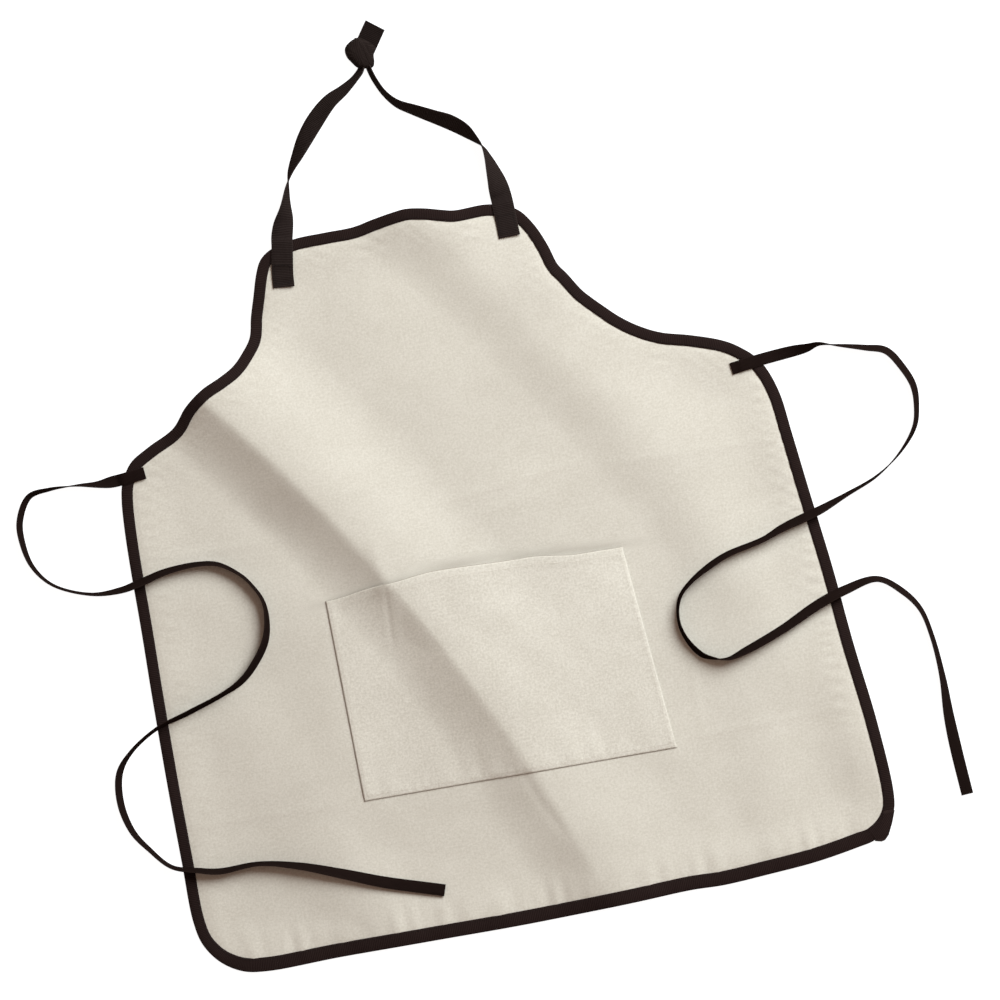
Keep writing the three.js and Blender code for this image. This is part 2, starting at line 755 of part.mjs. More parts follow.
// The binding's folded section at a station: a flat U whose legs lie over and under the cloth's rim
function bindingSection(station) {
  const clear = CANVAS_THICKNESS / 2 + GAP;
  const outer = clear + BINDING_THICKNESS;
  const edgeDepth = BINDING_THICKNESS + GAP;
  const edgeHeight = clothHeight(inside(station, edgeDepth), true);
  const legHeight = clothHeight(inside(station, BINDING_WIDTH), true);
  const round = BINDING_THICKNESS * EDGE_ROUND;
  const at = (depth, rise) => {
    const share = (depth - edgeDepth) / (BINDING_WIDTH - edgeDepth);
    return inside(station, depth).setZ(lerp(edgeHeight, legHeight, share) + rise);
  };
  return [
    at(BINDING_WIDTH, outer),
    at(round, outer),
    at(0, outer - round),
    at(0, round - outer),
    at(round, -outer),
    at(BINDING_WIDTH, -outer),
    at(BINDING_WIDTH, -clear),
    at(BINDING_THICKNESS, -clear),
    at(BINDING_THICKNESS, clear),
    at(BINDING_WIDTH, clear),
  ];
}
const UPPER_INNER_FACE = 8;

// One stretch of binding through neighbouring stations, cut short at each end by half of BUTT_GAP
function bindingStretch(stations) {
  const trimmed = stations.map((station) => ({
    point: station.point.clone(),
    inward: station.inward.clone(),
  }));
  const shorten = (end, neighbour) => {
    const way = new THREE.Vector3().subVectors(neighbour.point, end.point);
    const share = BUTT_GAP / 2 / way.length();
    end.point.addScaledVector(way, share);
    end.inward.lerp(neighbour.inward, share).normalize();
  };
  shorten(trimmed[0], trimmed[1]);
  shorten(trimmed.at(-1), trimmed.at(-2));
  return loftBody(trimmed.map(bindingSection), [UPPER_INNER_FACE]);
}

// Index of the station that lies nearest to a height or a place on one edge
function nearestStation(list, axis, value) {
  const gaps = list.map((station) => Math.abs(station.point[axis] - value));
  return gaps.indexOf(Math.min(...gaps));
}

// The five stretches of binding. They meet under the straps, under the ties and at the lower right corner
function bindings(cloth) {
  const { hem, right, top, left } = cloth.stations;
  const rightTie = nearestStation(right, "y", RIGHT_TIE_ROUTE[1][1]);
  const leftTie = nearestStation(left, "y", LEFT_TIE_ROUTE[1][1]);
  const leftStrap = nearestStation(top, "x", strapRoute(LEFT_STRAP_ROUTE)[2][0]);
  const rightStrap = nearestStation(top, "x", strapRoute(RIGHT_STRAP_ROUTE)[2][0]);
  const fromTop = (list) => list.toReversed();
  return {
    bib_binding: bindingStretch(fromTop(top.slice(leftStrap, rightStrap + 1))),
    armhole_binding_right: bindingStretch([
      ...right.slice(rightTie, -1),
      ...fromTop(top.slice(rightStrap)),
    ]),
    armhole_binding_left: bindingStretch([
      ...fromTop(top.slice(1, leftStrap + 1)),
      ...fromTop(left.slice(leftTie)),
    ]),
    skirt_binding: bindingStretch([...fromTop(left.slice(1, leftTie + 1)), ...hem]),
    side_binding_right: bindingStretch(right.slice(0, rightTie + 1)),
  };
}

// The patch pocket: the same grid as the panel below it, standing off towards its mouth
function pocket(cloth) {
  const first = OUTER_SHARES.length;
  const rows = cloth.rows
    .slice(cloth.lowRow, cloth.mouthRow + 1)
    .map((row) => row.slice(first, first + POCKET_COLUMNS + 1));
  const lastRow = rows.length - 1;
  const seat = CANVAS_THICKNESS / 2 + GAP;
  const lift = (i, j) => {
    const across = Math.sin((Math.PI * i) / POCKET_COLUMNS) ** LIFT_ACROSS;
    return MOUTH_LIFT * across * (j / lastRow) ** LIFT_UP;
  };
  const back = (p, i, j) => clothHeight(p, false) + seat + lift(i, j);
  const hemLayer = (j) => (j >= lastRow - 1 ? POCKET_THICKNESS : 0);
  const { body, tops, bottoms } = sheetBody(
    rows,
    (p, i, j) => back(p, i, j) + POCKET_THICKNESS + hemLayer(j),
    back,
  );
  const border = borderOf(rows);
  border.forEach(([j, i], k) => {
    const [row, column] = border[(k + 1) % border.length];
    body.quad(bottoms[j][i], bottoms[row][column], tops[row][column], tops[j][i], true);
  });
  return body.geometry();
}

// Answers how high the pieces reach over a plan point, from their upward triangles
class Relief {
  constructor(geometries) {
    this.cells = new Map();
    for (const geometry of geometries) this.add(geometry);
  }

  add(geometry) {
    const place = geometry.getAttribute("position");
    const index = geometry.index.array;
    for (let k = 0; k < index.length; k += 3) {
      const corners = [0, 1, 2].map((n) =>
        new THREE.Vector3().fromBufferAttribute(place, index[k + n]),
      );
      const box = new THREE.Box3().setFromPoints(corners);
      for (let i = Math.floor(box.min.x / RELIEF_CELL); i <= box.max.x / RELIEF_CELL; i += 1) {
        for (let j = Math.floor(box.min.y / RELIEF_CELL); j <= box.max.y / RELIEF_CELL; j += 1) {
          const key = `${i},${j}`;
          if (!this.cells.has(key)) this.cells.set(key, []);
          this.cells.get(key).push(corners);
        }
      }
    }
  }

  heightAt(x, y) {
    const key = `${Math.floor(x / RELIEF_CELL)},${Math.floor(y / RELIEF_CELL)}`;
    let height = 0;
    for (const [a, b, c] of this.cells.get(key) ?? []) {
      const area = (b.x - a.x) * (c.y - a.y) - (b.y - a.y) * (c.x - a.x);
      if (Math.abs(area) < 1e-6) continue;
      const shareB = ((x - a.x) * (c.y - a.y) - (y - a.y) * (c.x - a.x)) / area;
      const shareC = ((b.x - a.x) * (y - a.y) - (b.y - a.y) * (x - a.x)) / area;
      if (shareB < -1e-6 || shareC < -1e-6 || shareB + shareC > 1 + 1e-6) continue;
      height = Math.max(height, a.z + shareB * (b.z - a.z) + shareC * (c.z - a.z));
    }
    return height;
  }
}

// Stations of a flat tape along its route, draped over the pieces below it with a limited slope
function drapeTape(route, steps, width, thickness, relief) {
  const plan = new THREE.CatmullRomCurve3(
    route.map(([x, y]) => new THREE.Vector3(x, y, 0)),
    false,
    "centripetal",
  );
  plan.arcLengthDivisions = ROUTE_DIVISIONS;
  const lengths = plan.getLengths(ROUTE_DIVISIONS);
  const total = lengths.at(-1);
  const columnAt = (distance, column, whole) => {
    const k = lengths.findIndex((length) => length >= distance - 1e-9);
    const share = (k < 0 ? 1 : k / ROUTE_DIVISIONS) * (route.length - 1);
    const n = Math.min(Math.floor(share), route.length - 2);
    return lerp(route[n][column] ?? whole, route[n + 1][column] ?? whole, share - n);
  };
  const stations = [];
  for (let k = 0; k <= steps; k += 1) {
    const distance = (total * k) / steps;
    const roll = radians(columnAt(distance, 2, 0));
    const half = (width * columnAt(distance, 3, 1)) / 2;
    const point = plan.getPointAt(k / steps);
    const rise = half * Math.abs(Math.sin(roll)) + (thickness / 2) * Math.abs(Math.cos(roll));
    stations.push({ point, roll, rise, half, distance });
  }
  const needAt = (distance) => {
    const share = THREE.MathUtils.clamp(distance / total, 0, 1);
    const point = plan.getPointAt(share);
    const way = plan.getTangentAt(share);
    let need = 0;
    for (const side of FEELS_ACROSS) {
      const x = point.x - (way.y * width * side) / 2;
      const y = point.y + (way.x * width * side) / 2;
      need = Math.max(need, relief.heightAt(x, y));
    }
    return need > 0 ? need + GAP : 0;
  };
  const step = total / steps;
  const needs = [];
  for (let k = 0; k <= steps * FEELS_PER_STEP; k += 1) {
    const distance = (k * step) / FEELS_PER_STEP;
    needs.push({ distance, need: needAt(distance) });
  }
  for (const station of stations) {
    let support = 0;
    for (const { distance, need } of needs) {
      const away = Math.max(0, Math.abs(distance - station.distance) - step);
      support = Math.max(support, need - TAPE_SLOPE * away);
    }
    station.point.setZ(support + station.rise);
  }
  return stations;
}

// The directions of a tape at a station: through its thickness and across its width
function tapeFrame(station, before, after) {
  const way = new THREE.Vector3().subVectors(after.point, before.point).normalize();
  const up = new THREE.Vector3(0, 0, 1).addScaledVector(way, -way.z).normalize();
  const side = new THREE.Vector3().crossVectors(way, up);
  const through = up.clone().multiplyScalar(Math.cos(station.roll));
  through.addScaledVector(side, Math.sin(station.roll));
  return { way, through, across: new THREE.Vector3().crossVectors(way, through) };
}

// The eight corners of a flat section with eased edges, as shares of half its thickness and half its width
const TAPE_CORNERS = [
  [1, -0.94],
  [1, 0.94],
  [0.4, 1],
  [-0.4, 1],
  [-1, 0.94],
  [-1, -0.94],
  [-0.4, -1],
  [0.4, -1],
];

// A path that hands ExtrudeGeometry its own stations and rolled frames
class TapePath extends THREE.Curve {
  constructor(stations) {
    super();
    this.stations = stations;
  }

  getPoint(share, target = new THREE.Vector3()) {
    const place = share * (this.stations.length - 1);
    const k = Math.min(Math.floor(place), this.stations.length - 2);
    return target.lerpVectors(this.stations[k].point, this.stations[k + 1].point, place - k);
  }

  getSpacedPoints() {
    return this.stations.map((station) => station.point.clone());
  }

  computeFrenetFrames() {
    const frames = this.stations.map((station, k) =>
      tapeFrame(
        station,
        this.stations[Math.max(k - 1, 0)],
        this.stations[Math.min(k + 1, this.stations.length - 1)],
      ),
    );
    return {
      tangents: frames.map((frame) => frame.way),
      normals: frames.map((frame) => frame.through),
      binormals: frames.map((frame) => frame.across),
    };
  }
}

// A waist tie: the tape's section run along its draped route
function waistTie(route, relief) {
  const stations = drapeTape(route, TIE_STEPS, TIE_WIDTH, TIE_THICKNESS, relief);
  const section = new THREE.Shape(
    TAPE_CORNERS.map(([t, w]) => new THREE.Vector2((t * TIE_THICKNESS) / 2, (w * TIE_WIDTH) / 2)),
  );
  return new THREE.ExtrudeGeometry(section, {
    steps: TIE_STEPS,
    extrudePath: new TapePath(stations),
    bevelEnabled: false,
  });
}

// A neck strap's route in plan, with its roll and width in the columns after
function strapRoute(rows) {
  return rows.map((row) => [
    BIB_SHIFT + row.across * HALF_BIB,
    BIB_BASE + row.up * STRAP_REACH,
    row.roll,
    row.width,
  ]);
}

// The sections of a neck strap, grown by a margin: webbing that narrows where it bunches at the knot
function strapSections(stations, margin) {
  return stations.map((station, k) => {
    const before = stations[Math.max(k - 1, 0)];
    const after = stations[Math.min(k + 1, stations.length - 1)];
    const frame = tapeFrame(station, before, after);
    return TAPE_CORNERS.map(([t, w]) =>
      station.point
        .clone()
        .addScaledVector(frame.through, t * (WEBBING_THICKNESS / 2 + margin))
        .addScaledVector(frame.across, w * (station.half + margin)),
    );
  });
}

// The room that a strap's last stretch needs in the knot, with the gap all round and past its end
function strapSlot(stations) {
  const last = strapSections(stations, GAP).slice(-SLOT_STATIONS);
  const [inner, end] = last.slice(-2);
  const way = new THREE.Vector3().subVectors(end[0], inner[0]).normalize();
  return [...last, end.map((p) => p.clone().addScaledVector(way, GAP))];
}

// A geometry as a closed solid that can be joined and cut
function solidOf(wasm, geometry) {
  const bare = geometry.clone();
  bare.deleteAttribute("normal");
  bare.deleteAttribute("uv");
  const merged = mergeVertices(bare, 1e-3);
  return new wasm.Manifold(
    new wasm.Mesh({
      numProp: 3,
      vertProperties: merged.getAttribute("position").array,
      triVerts: new Uint32Array(merged.index.array),
    }),
  );
}

// A solid as a geometry
function geometryOf(solid) {
  const mesh = solid.getMesh();
  const made = new THREE.BufferGeometry();
  made.setAttribute("position", new THREE.BufferAttribute(new Float32Array(mesh.vertProperties), 3));
  made.setIndex(new THREE.BufferAttribute(new Uint32Array(mesh.triVerts), 1));
  made.computeVertexNormals();
  return made;
}

// The knot: two lobes of wrapped webbing and the doubled tail that leaves them, joined in one body,
// with a slot that each strap's end runs into
function neckKnot(wasm, strapEnds) {
  const lobes = KNOT_LOBES.map((row) => {
    const made = new THREE.SphereGeometry(0.5, LOBE_SIDES, LOBE_BANDS);
    made.rotateX(Math.PI / 2);
    made.scale(row.width * KNOT_WIDTH, row.length * KNOT_LENGTH, row.height * KNOT_HEIGHT);
    made.rotateZ(radians(row.turn));
    return made.translate(row.x * KNOT_WIDTH, row.y * KNOT_LENGTH, (row.height * KNOT_HEIGHT) / 2);
  });
  const buried = KNOT_LENGTH / 2;
  const length = TAIL_LENGTH + buried;
  const tail = new THREE.BoxGeometry(WEBBING_WIDTH, length, 2 * WEBBING_THICKNESS);
  tail.translate(0, length / 2, WEBBING_THICKNESS);
  tail.rotateX(radians(-TAIL_DROP));
  tail.rotateZ(radians(TAIL_TURN));
  tail.translate(0, TAIL_START * KNOT_LENGTH, length * Math.sin(radians(TAIL_DROP)));
  const solids = [...lobes, tail].map((piece) => solidOf(wasm, piece));
  const whole = solids.reduce((all, next) => all.add(next));
  const placed = whole.translate([BIB_SHIFT + KNOT_ACROSS * HALF_BIB, BIB_BASE + STRAP_REACH, 0]);
  const slots = strapEnds.map((sections) => solidOf(wasm, loftBody(sections)));
  return geometryOf(slots.reduce((all, slot) => all.subtract(slot), placed));
}

const CANVAS = { color: 0xd6cfc0, roughness: 0.95, metalness: 0 };
const GROSGRAIN = { color: 0x251d1c, roughness: 0.9, metalness: 0 };
const WEBBING = { color: 0x221b1a, roughness: 0.88, metalness: 0 };

const wasm = await Module();
wasm.setup();

const cloth = layOutCloth();
const panelGeometry = bodyPanel(cloth);
const bindingGeometries = bindings(cloth);
const pocketGeometry = pocket(cloth);
const relief = new Relief([panelGeometry, pocketGeometry, ...Object.values(bindingGeometries)]);
const straps = [LEFT_STRAP_ROUTE, RIGHT_STRAP_ROUTE].map((rows) =>
  drapeTape(strapRoute(rows), STRAP_STEPS, WEBBING_WIDTH, WEBBING_THICKNESS, relief),
);

const apron = new THREE.Group();
function place(name, geometry, finish) {
  const mesh = new THREE.Mesh(geometry, new THREE.MeshStandardMaterial(finish));
  mesh.name = name;
  apron.add(mesh);
  return mesh;
}

place("body_panel", panelGeometry, CANVAS);
place("pocket", pocketGeometry, CANVAS);
for (const [name, geometry] of Object.entries(bindingGeometries)) place(name, geometry, GROSGRAIN);
place("neck_strap_left", loftBody(strapSections(straps[0], 0)), WEBBING);
place("neck_strap_right", loftBody(strapSections(straps[1], 0)), WEBBING);
place("neck_knot", neckKnot(wasm, straps.map(strapSlot)), WEBBING);

// The origin is on the floor under the middle of all but the ties
const middle = new THREE.Box3().setFromObject(apron).getCenter(new THREE.Vector3());
place("waist_tie_left", waistTie(LEFT_TIE_ROUTE, relief), WEBBING);
place("waist_tie_right", waistTie(RIGHT_TIE_ROUTE, relief), WEBBING);
apron.position.set(-middle.x, -middle.y, 0);

export default apron;
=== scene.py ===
"""A canvas bib work apron lying face up on a studio floor, with its neck straps knotted.

Metres throughout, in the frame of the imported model: X across the apron, Y from the hem up to the
bib, Z up from the floor. Plans are laid out from the hem's middle and moved by PLAN_SHIFT at the end.
"""

from __future__ import annotations

import logging
import math
import sys
from collections.abc import Iterable, Sequence
from dataclasses import dataclass, field
from enum import Enum

import bpy
import numpy as np
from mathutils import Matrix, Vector
from mathutils.kdtree import KDTree

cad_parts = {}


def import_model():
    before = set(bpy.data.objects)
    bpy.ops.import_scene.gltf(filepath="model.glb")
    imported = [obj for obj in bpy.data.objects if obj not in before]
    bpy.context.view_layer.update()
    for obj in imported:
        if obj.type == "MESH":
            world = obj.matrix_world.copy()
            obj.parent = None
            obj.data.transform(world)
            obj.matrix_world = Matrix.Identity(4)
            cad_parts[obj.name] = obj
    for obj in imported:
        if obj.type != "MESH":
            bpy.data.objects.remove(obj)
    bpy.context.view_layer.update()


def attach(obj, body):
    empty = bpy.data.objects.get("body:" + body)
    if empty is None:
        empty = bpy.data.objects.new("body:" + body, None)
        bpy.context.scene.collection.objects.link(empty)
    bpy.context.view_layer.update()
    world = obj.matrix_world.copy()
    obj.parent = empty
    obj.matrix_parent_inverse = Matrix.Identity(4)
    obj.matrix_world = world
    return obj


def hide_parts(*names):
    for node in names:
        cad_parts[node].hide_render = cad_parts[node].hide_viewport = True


LOG = logging.getLogger("bib_apron")
Array = np.ndarray
Colour = tuple[float, float, float]

MM = 0.001
PLAN_SHIFT = np.array([-0.000077, -0.4583266])
LAY = "lay"
SHARP = math.radians(50.0)


class Side(Enum):
    """The two sides of the apron, as the photograph shows them."""

    LEFT = "left"
    RIGHT = "right"


# --------------------------------------------------------------------------- curves and shells


def spline(rows: Array, closed: bool = False, per_span: int = 24) -> Array:
    """Samples a centripetal Catmull-Rom curve whose knots come from the rows' first two columns.

    Args:
        rows: One row a point; columns after the second ride along.
        closed: Whether the curve returns to its first point.
        per_span: Samples between neighbouring points.

    Returns:
        The sampled rows.
    """
    if closed:
        padded = np.vstack([rows[-1], rows, rows[:2]])
    else:
        padded = np.vstack([2 * rows[0] - rows[1], rows, 2 * rows[-1] - rows[-2]])
    found = []
    for p0, p1, p2, p3 in zip(padded, padded[1:], padded[2:], padded[3:]):
        t0 = 0.0
        t1 = t0 + max(np.hypot(*(p1 - p0)[:2]), 1e-9) ** 0.5
        t2 = t1 + max(np.hypot(*(p2 - p1)[:2]), 1e-9) ** 0.5
        t3 = t2 + max(np.hypot(*(p3 - p2)[:2]), 1e-9) ** 0.5
        t = np.linspace(t1, t2, per_span, endpoint=False)[:, None]
        a1 = (t1 - t) / (t1 - t0) * p0 + (t - t0) / (t1 - t0) * p1
        a2 = (t2 - t) / (t2 - t1) * p1 + (t - t1) / (t2 - t1) * p2
        a3 = (t3 - t) / (t3 - t2) * p2 + (t - t2) / (t3 - t2) * p3
        b1 = (t2 - t) / (t2 - t0) * a1 + (t - t0) / (t2 - t0) * a2
        b2 = (t3 - t) / (t3 - t1) * a2 + (t - t1) / (t3 - t1) * a3
        found.append((t2 - t) / (t2 - t1) * b1 + (t - t1) / (t2 - t1) * b2)
    if not closed:
        found.append(rows[-1][None])
    return np.vstack(found)


def arc_lengths(line: Array) -> Array:
    """Distances along a line in plan, from its first row."""
    steps = np.hypot(*np.diff(line[:, :2], axis=0).T)
    return np.concatenate([[0.0], np.cumsum(steps)])


def resample(line: Array, step: float) -> Array:
    """Rows spaced evenly along a line, with both ends kept.

    Args:
        line: The rows to follow; columns after the second ride along.
        step: The wanted spacing.

    Returns:
        The evenly spaced rows.
    """
    lengths = arc_lengths(line)
    count = max(2, int(round(lengths[-1] / step)) + 1)
    places = np.linspace(0.0, lengths[-1], count)
    return np.column_stack([np.interp(places, lengths, column) for column in line.T])


def smoothstep(low: float, high: float, value: Array) -> Array:
    """A soft step from 0 at low to 1 at high.

    Args:
        low: The value where the step starts.
        high: The value where it ends.
        value: The values.

    Returns:
        The step at each value.
    """
    share = np.clip((value - low) / (high - low), 0.0, 1.0)
    return share * share * (3.0 - 2.0 * share)


@dataclass
class Shell:
    """A mesh in the making, with each vertex's place in its own cloth.

    The lay holds metres along the cloth, metres across it, and a third value that a finish may read; the
    canvas reads it as the strength of its painted shade.
    """

    points: list[Array] = field(default_factory=list)
    lays: list[Array] = field(default_factory=list)
    faces: list[tuple[int, ...]] = field(default_factory=list)
    count: int = 0

    def add(self, points: Array, lays: Array, faces: Iterable[tuple[int, ...]]) -> None:
        """Adds vertices and the faces between them.

        Args:
            points: Places, one row a vertex.
            lays: The same vertices' places in the cloth.
            faces: Vertex indices, counted from this call's first vertex.
        """
        base = self.count
        self.points.append(np.asarray(points, float))
        self.lays.append(np.asarray(lays, float))
        self.faces.extend(tuple(base + k for k in face) for face in faces)
        self.count += len(points)

    def loft(self, sections: Array, lays: Array, capped: bool = True) -> None:
        """Skins closed sections of equal length into a tube.

        Args:
            sections: Places, by section and by point round it.
            lays: The same points' places in the cloth.
            capped: Whether both ends are closed.
        """
        rows, columns = sections.shape[:2]
        faces = []
        for k in range(rows - 1):
            for n in range(columns):
                m = (n + 1) % columns
                low, high = k * columns, (k + 1) * columns
                faces.append((low + n, low + m, high + m, high + n))
        if capped:
            last = (rows - 1) * columns
            faces.append(tuple(range(columns))[::-1])
            faces.append(tuple(range(last, last + columns)))
        self.add(sections.reshape(-1, 3), lays.reshape(-1, 3), faces)

    def piece(self, name: str, finish: bpy.types.Material) -> bpy.types.Object:
        """Makes the Blender object.

        Args:
            name: The piece's name.
            finish: Its material.

        Returns:
            The object, linked into the scene.
        """
        mesh = bpy.data.meshes.new(name)
        mesh.from_pydata(np.vstack(self.points).tolist(), [], self.faces)
        mesh.update()
        lay = mesh.attributes.new(LAY, "FLOAT_VECTOR", "POINT")
        lay.data.foreach_set("vector", np.vstack(self.lays).astype(np.float32).ravel())
        mesh.shade_smooth()
        mesh.set_sharp_from_angle(angle=SHARP)
        mesh.materials.append(finish)
        made = bpy.data.objects.new(name, mesh)
        bpy.context.scene.collection.objects.link(made)
        return made


def settle(piece: bpy.types.Object, slot: str, *nodes: str) -> bpy.types.Object:
    """Makes a piece ride on the apron and stand for its CAD nodes, and reports it.

    Args:
        piece: The piece.
        slot: The name of its material's place; not used.
        nodes: The CAD nodes that it stands for.

    Returns:
        The piece.
    """
    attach(piece, "root")
    if nodes:
        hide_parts(*nodes)
    LOG.info("%s: %d faces", piece.name, len(piece.data.polygons))
    return piece


# --------------------------------------------------------------------------- shader expressions


class Signal:
    """A socket in a shader that takes part in expressions on values."""

    def __init__(self, dress: Dress, socket: bpy.types.NodeSocket) -> None:
        """Wraps a socket of a dress's tree."""
        self.dress = dress
        self.socket = socket

    def math(self, operation: str, *others: Signal | float, flip: bool = False) -> Signal:
        """Adds a Math node on this value and others.

        Args:
            operation: The Math node's operation.
            others: The other operands.
            flip: Whether this value comes second.

        Returns:
            The node's result.
        """
        operands = [self, *others]
        if flip:
            operands = [others[0], self]
        values = dict(enumerate(operands))
        return self.dress.node("ShaderNodeMath", {"operation": operation}, values)["Value"]

    def __add__(self, other: Signal | float) -> Signal:
        """This value plus another."""
        return self.math("ADD", other)

    __radd__ = __add__

    def __sub__(self, other: Signal | float) -> Signal:
        """This value less another."""
        return self.math("SUBTRACT", other)

    def __rsub__(self, other: float) -> Signal:
        """Another value less this one."""
        return self.math("SUBTRACT", other, flip=True)

    def __mul__(self, other: Signal | float) -> Signal:
        """This value times another."""
        return self.math("MULTIPLY", other)

    __rmul__ = __mul__

    def __abs__(self) -> Signal:
        """This value without its sign."""
        return self.math("ABSOLUTE")

    def sine(self) -> Signal:
        """The sine of this value."""
        return self.math("SINE")

    def least(self, other: Signal | float) -> Signal:
        """The smaller of this value and another."""
        return self.math("MINIMUM", other)

    def most(self, other: Signal | float) -> Signal:
        """The larger of this value and another."""
        return self.math("MAXIMUM", other)

    def soft(self, low: float, high: float) -> Signal:
        """A soft step of this value, from 0 at low to 1 at high, clamped to those.

        Args:
            low: The value where the step starts.
            high: The value where it ends.

        Returns:
            The step.
        """
        made = self.dress.node(
            "ShaderNodeMapRange",
            {"interpolation_type": "SMOOTHSTEP", "clamp": True},
            {"Value": self, "From Min": low, "From Max": high},
        )
        return made["Result"]


class Dress:
    """Builds one node-based material."""

    def __init__(self, name: str) -> None:
        """Starts an empty material.

        Args:
            name: The material's name.
        """
        self.material = bpy.data.materials.new(name)
        self.material.use_nodes = True
        self.tree = self.material.node_tree
        self.tree.nodes.clear()

    def node(
        self, kind: str, settings: dict[str, object], values: dict[int | str, object]
    ) -> dict[str, Signal]:
        """Adds a node of any kind.

        Args:
            kind: The node's type.
            settings: Its settings, which are set first.
            values: Values or links for its inputs, by name or number.

        Returns:
            Its outputs by name.
        """
        made = self.tree.nodes.new(kind)
        for name, value in settings.items():
            setattr(made, name, value)
        for name, value in values.items():
            if isinstance(value, Signal):
                self.tree.links.new(value.socket, made.inputs[name])
            elif isinstance(value, tuple) and made.inputs[name].type == "RGBA":
                made.inputs[name].default_value = (*value, 1.0)
            else:
                made.inputs[name].default_value = value
        return {output.name: Signal(self, output) for output in made.outputs if output.enabled}

    def blend(self, factor: Signal | float, first: Signal | Colour, second: Signal | Colour) -> Signal:
        """Mixes two colours by a factor."""
        made = self.node("ShaderNodeMix", {"data_type": "RGBA"}, {0: factor, 6: first, 7: second})
        return made["Result"]

    def scaled(self, vector: Signal, factors: Colour) -> Signal:
        """Multiplies a vector by factors along its axes."""
        made = self.node("ShaderNodeVectorMath", {"operation": "MULTIPLY"}, {0: vector, 1: factors})
        return made["Vector"]

    def noise(self, place: Signal, scale: float, detail: float = 2.0, rough: float = 0.5) -> Signal:
        """Noise from 0 to 1 at a place, with scale in waves a metre.

        Args:
            place: Where it is read.
            scale: Waves a metre.
            detail: How many finer layers it has.
            rough: How strong they are.

        Returns:
            The noise.
        """
        made = self.node(
            "ShaderNodeTexNoise",
            {},
            {"Vector": place, "Scale": scale, "Detail": detail, "Roughness": rough},
        )
        return made.get("Fac", made.get("Factor"))

    def specks(self, place: Signal, scale: float, reach: float) -> Signal:
        """Round specks of a reach in metres, one in each cell of 1/scale metres, 1 at their middles."""
        made = self.node("ShaderNodeTexVoronoi", {}, {"Vector": place, "Scale": scale, "Randomness": 1.0})
        return 1.0 - made["Distance"].soft(reach * scale * 0.4, reach * scale)

    def lay(self) -> tuple[Signal, Signal, Signal, Signal]:
        """The cloth's own place: the vector, metres along, metres across, and a third value that the
        canvas reads as painted shade.

        Returns:
            The vector, its first two parts and the third value.
        """
        found = self.node("ShaderNodeAttribute", {"attribute_name": LAY}, {})["Vector"]
        parts = self.node("ShaderNodeSeparateXYZ", {}, {0: found})
        return found, parts["X"], parts["Y"], parts["Z"]

    def bump(self, height: Signal, distance: float, strength: float = 1.0) -> Signal:
        """A normal from a height whose unit is worth a distance in metres."""
        values = {"Strength": strength, "Distance": distance, "Height": height}
        return self.node("ShaderNodeBump", {}, values)["Normal"]

    def surface(self, values: dict[int | str, object]) -> bpy.types.Material:
        """Closes the material with a Principled BSDF of those values.

        Args:
            values: Values or links for the shader's inputs.

        Returns:
            The material.
        """
        made = self.node("ShaderNodeBsdfPrincipled", {}, values)["BSDF"]
        self.node("ShaderNodeOutputMaterial", {}, {"Surface": made})
        return self.material


# --------------------------------------------------------------------------- finishes


@dataclass(frozen=True)
class CanvasFinish:
    """Unbleached cotton canvas: a plain weave with slubs, seed flecks and soft handling marks, with
    painted shade where the lay's third value asks for it.
    """

    light: Colour = (0.592, 0.555, 0.48)
    shade: Colour = (0.49, 0.451, 0.377)
    fleck: Colour = (0.2, 0.15, 0.11)
    # The next colour is painted shade: the colour of the painted shadow above the pocket's mouth and
    # along the pocket's rims.
    painted_shade: Colour = (0.13, 0.085, 0.058)
    pitch: float = 0.82 * MM
    relief: float = 0.16 * MM
    roughness: float = 0.93

    def material(self, name: str) -> bpy.types.Material:
        """Builds the material.

        Args:
            name: The material's name.

        Returns:
            The material.
        """
        dress = Dress(name)
        place, along, across, painted_shade_share = dress.lay()
        turn = 2.0 * math.pi / self.pitch
        wander = dress.noise(place, 190.0, 2.0)
        warp = (along * turn + wander * 1.6).sine()
        weft = (across * turn + wander * 1.9).sine()
        cloth = (warp * weft) * 0.5 + 0.5
        slub_along = dress.noise(dress.scaled(place, (0.09, 1.0, 1.0)), 1250.0, 1.0)
        slub_across = dress.noise(dress.scaled(place, (1.0, 0.09, 1.0)), 1250.0, 1.0)
        slubs = slub_along * 0.55 + slub_across * 0.45
        clouds = dress.noise(place, 9.0, 4.0, 0.55)
        mottle = dress.noise(place, 46.0, 3.0, 0.6)
        fuzz = dress.noise(place, 620.0, 3.0, 0.65)
        grain = dress.noise(place, 430.0, 2.0, 0.6)
        tone = slubs * 0.5 + fuzz * 0.34 + grain * 0.8 + mottle * 0.2 + clouds * 0.14 + cloth * 0.06
        colour = dress.blend(tone.soft(0.76, 1.28), self.shade, self.light)
        flecks = dress.specks(place, 52.0, 0.42 * MM) * dress.noise(place, 31.0).soft(0.56, 0.62)
        hulls = dress.specks(dress.scaled(place, (1.0, 0.45, 1.0)), 21.0, 0.6 * MM)
        hulls = hulls * dress.noise(place, 13.0).soft(0.55, 0.6)
        colour = dress.blend((flecks * 0.62).most(hulls * 0.4), colour, self.fleck)
        # Painted shade: the lay's third value darkens the canvas towards the painted shade colour, above
        # the pocket's mouth and along its rims.
        colour = dress.blend(painted_shade_share.least(1.0).most(0.0), colour, self.painted_shade)
        height = cloth * 0.55 + slubs * 0.75 + fuzz * 0.35
        return dress.surface(
            {
                "Base Color": colour,
                "Roughness": (slubs * 0.06 + (self.roughness - 0.03)).least(1.0),
                "Normal": dress.bump(height, self.relief),
                "Sheen Weight": 0.12,
                "Sheen Roughness": 0.6,
                "Specular IOR Level": 0.18,
            }
        )


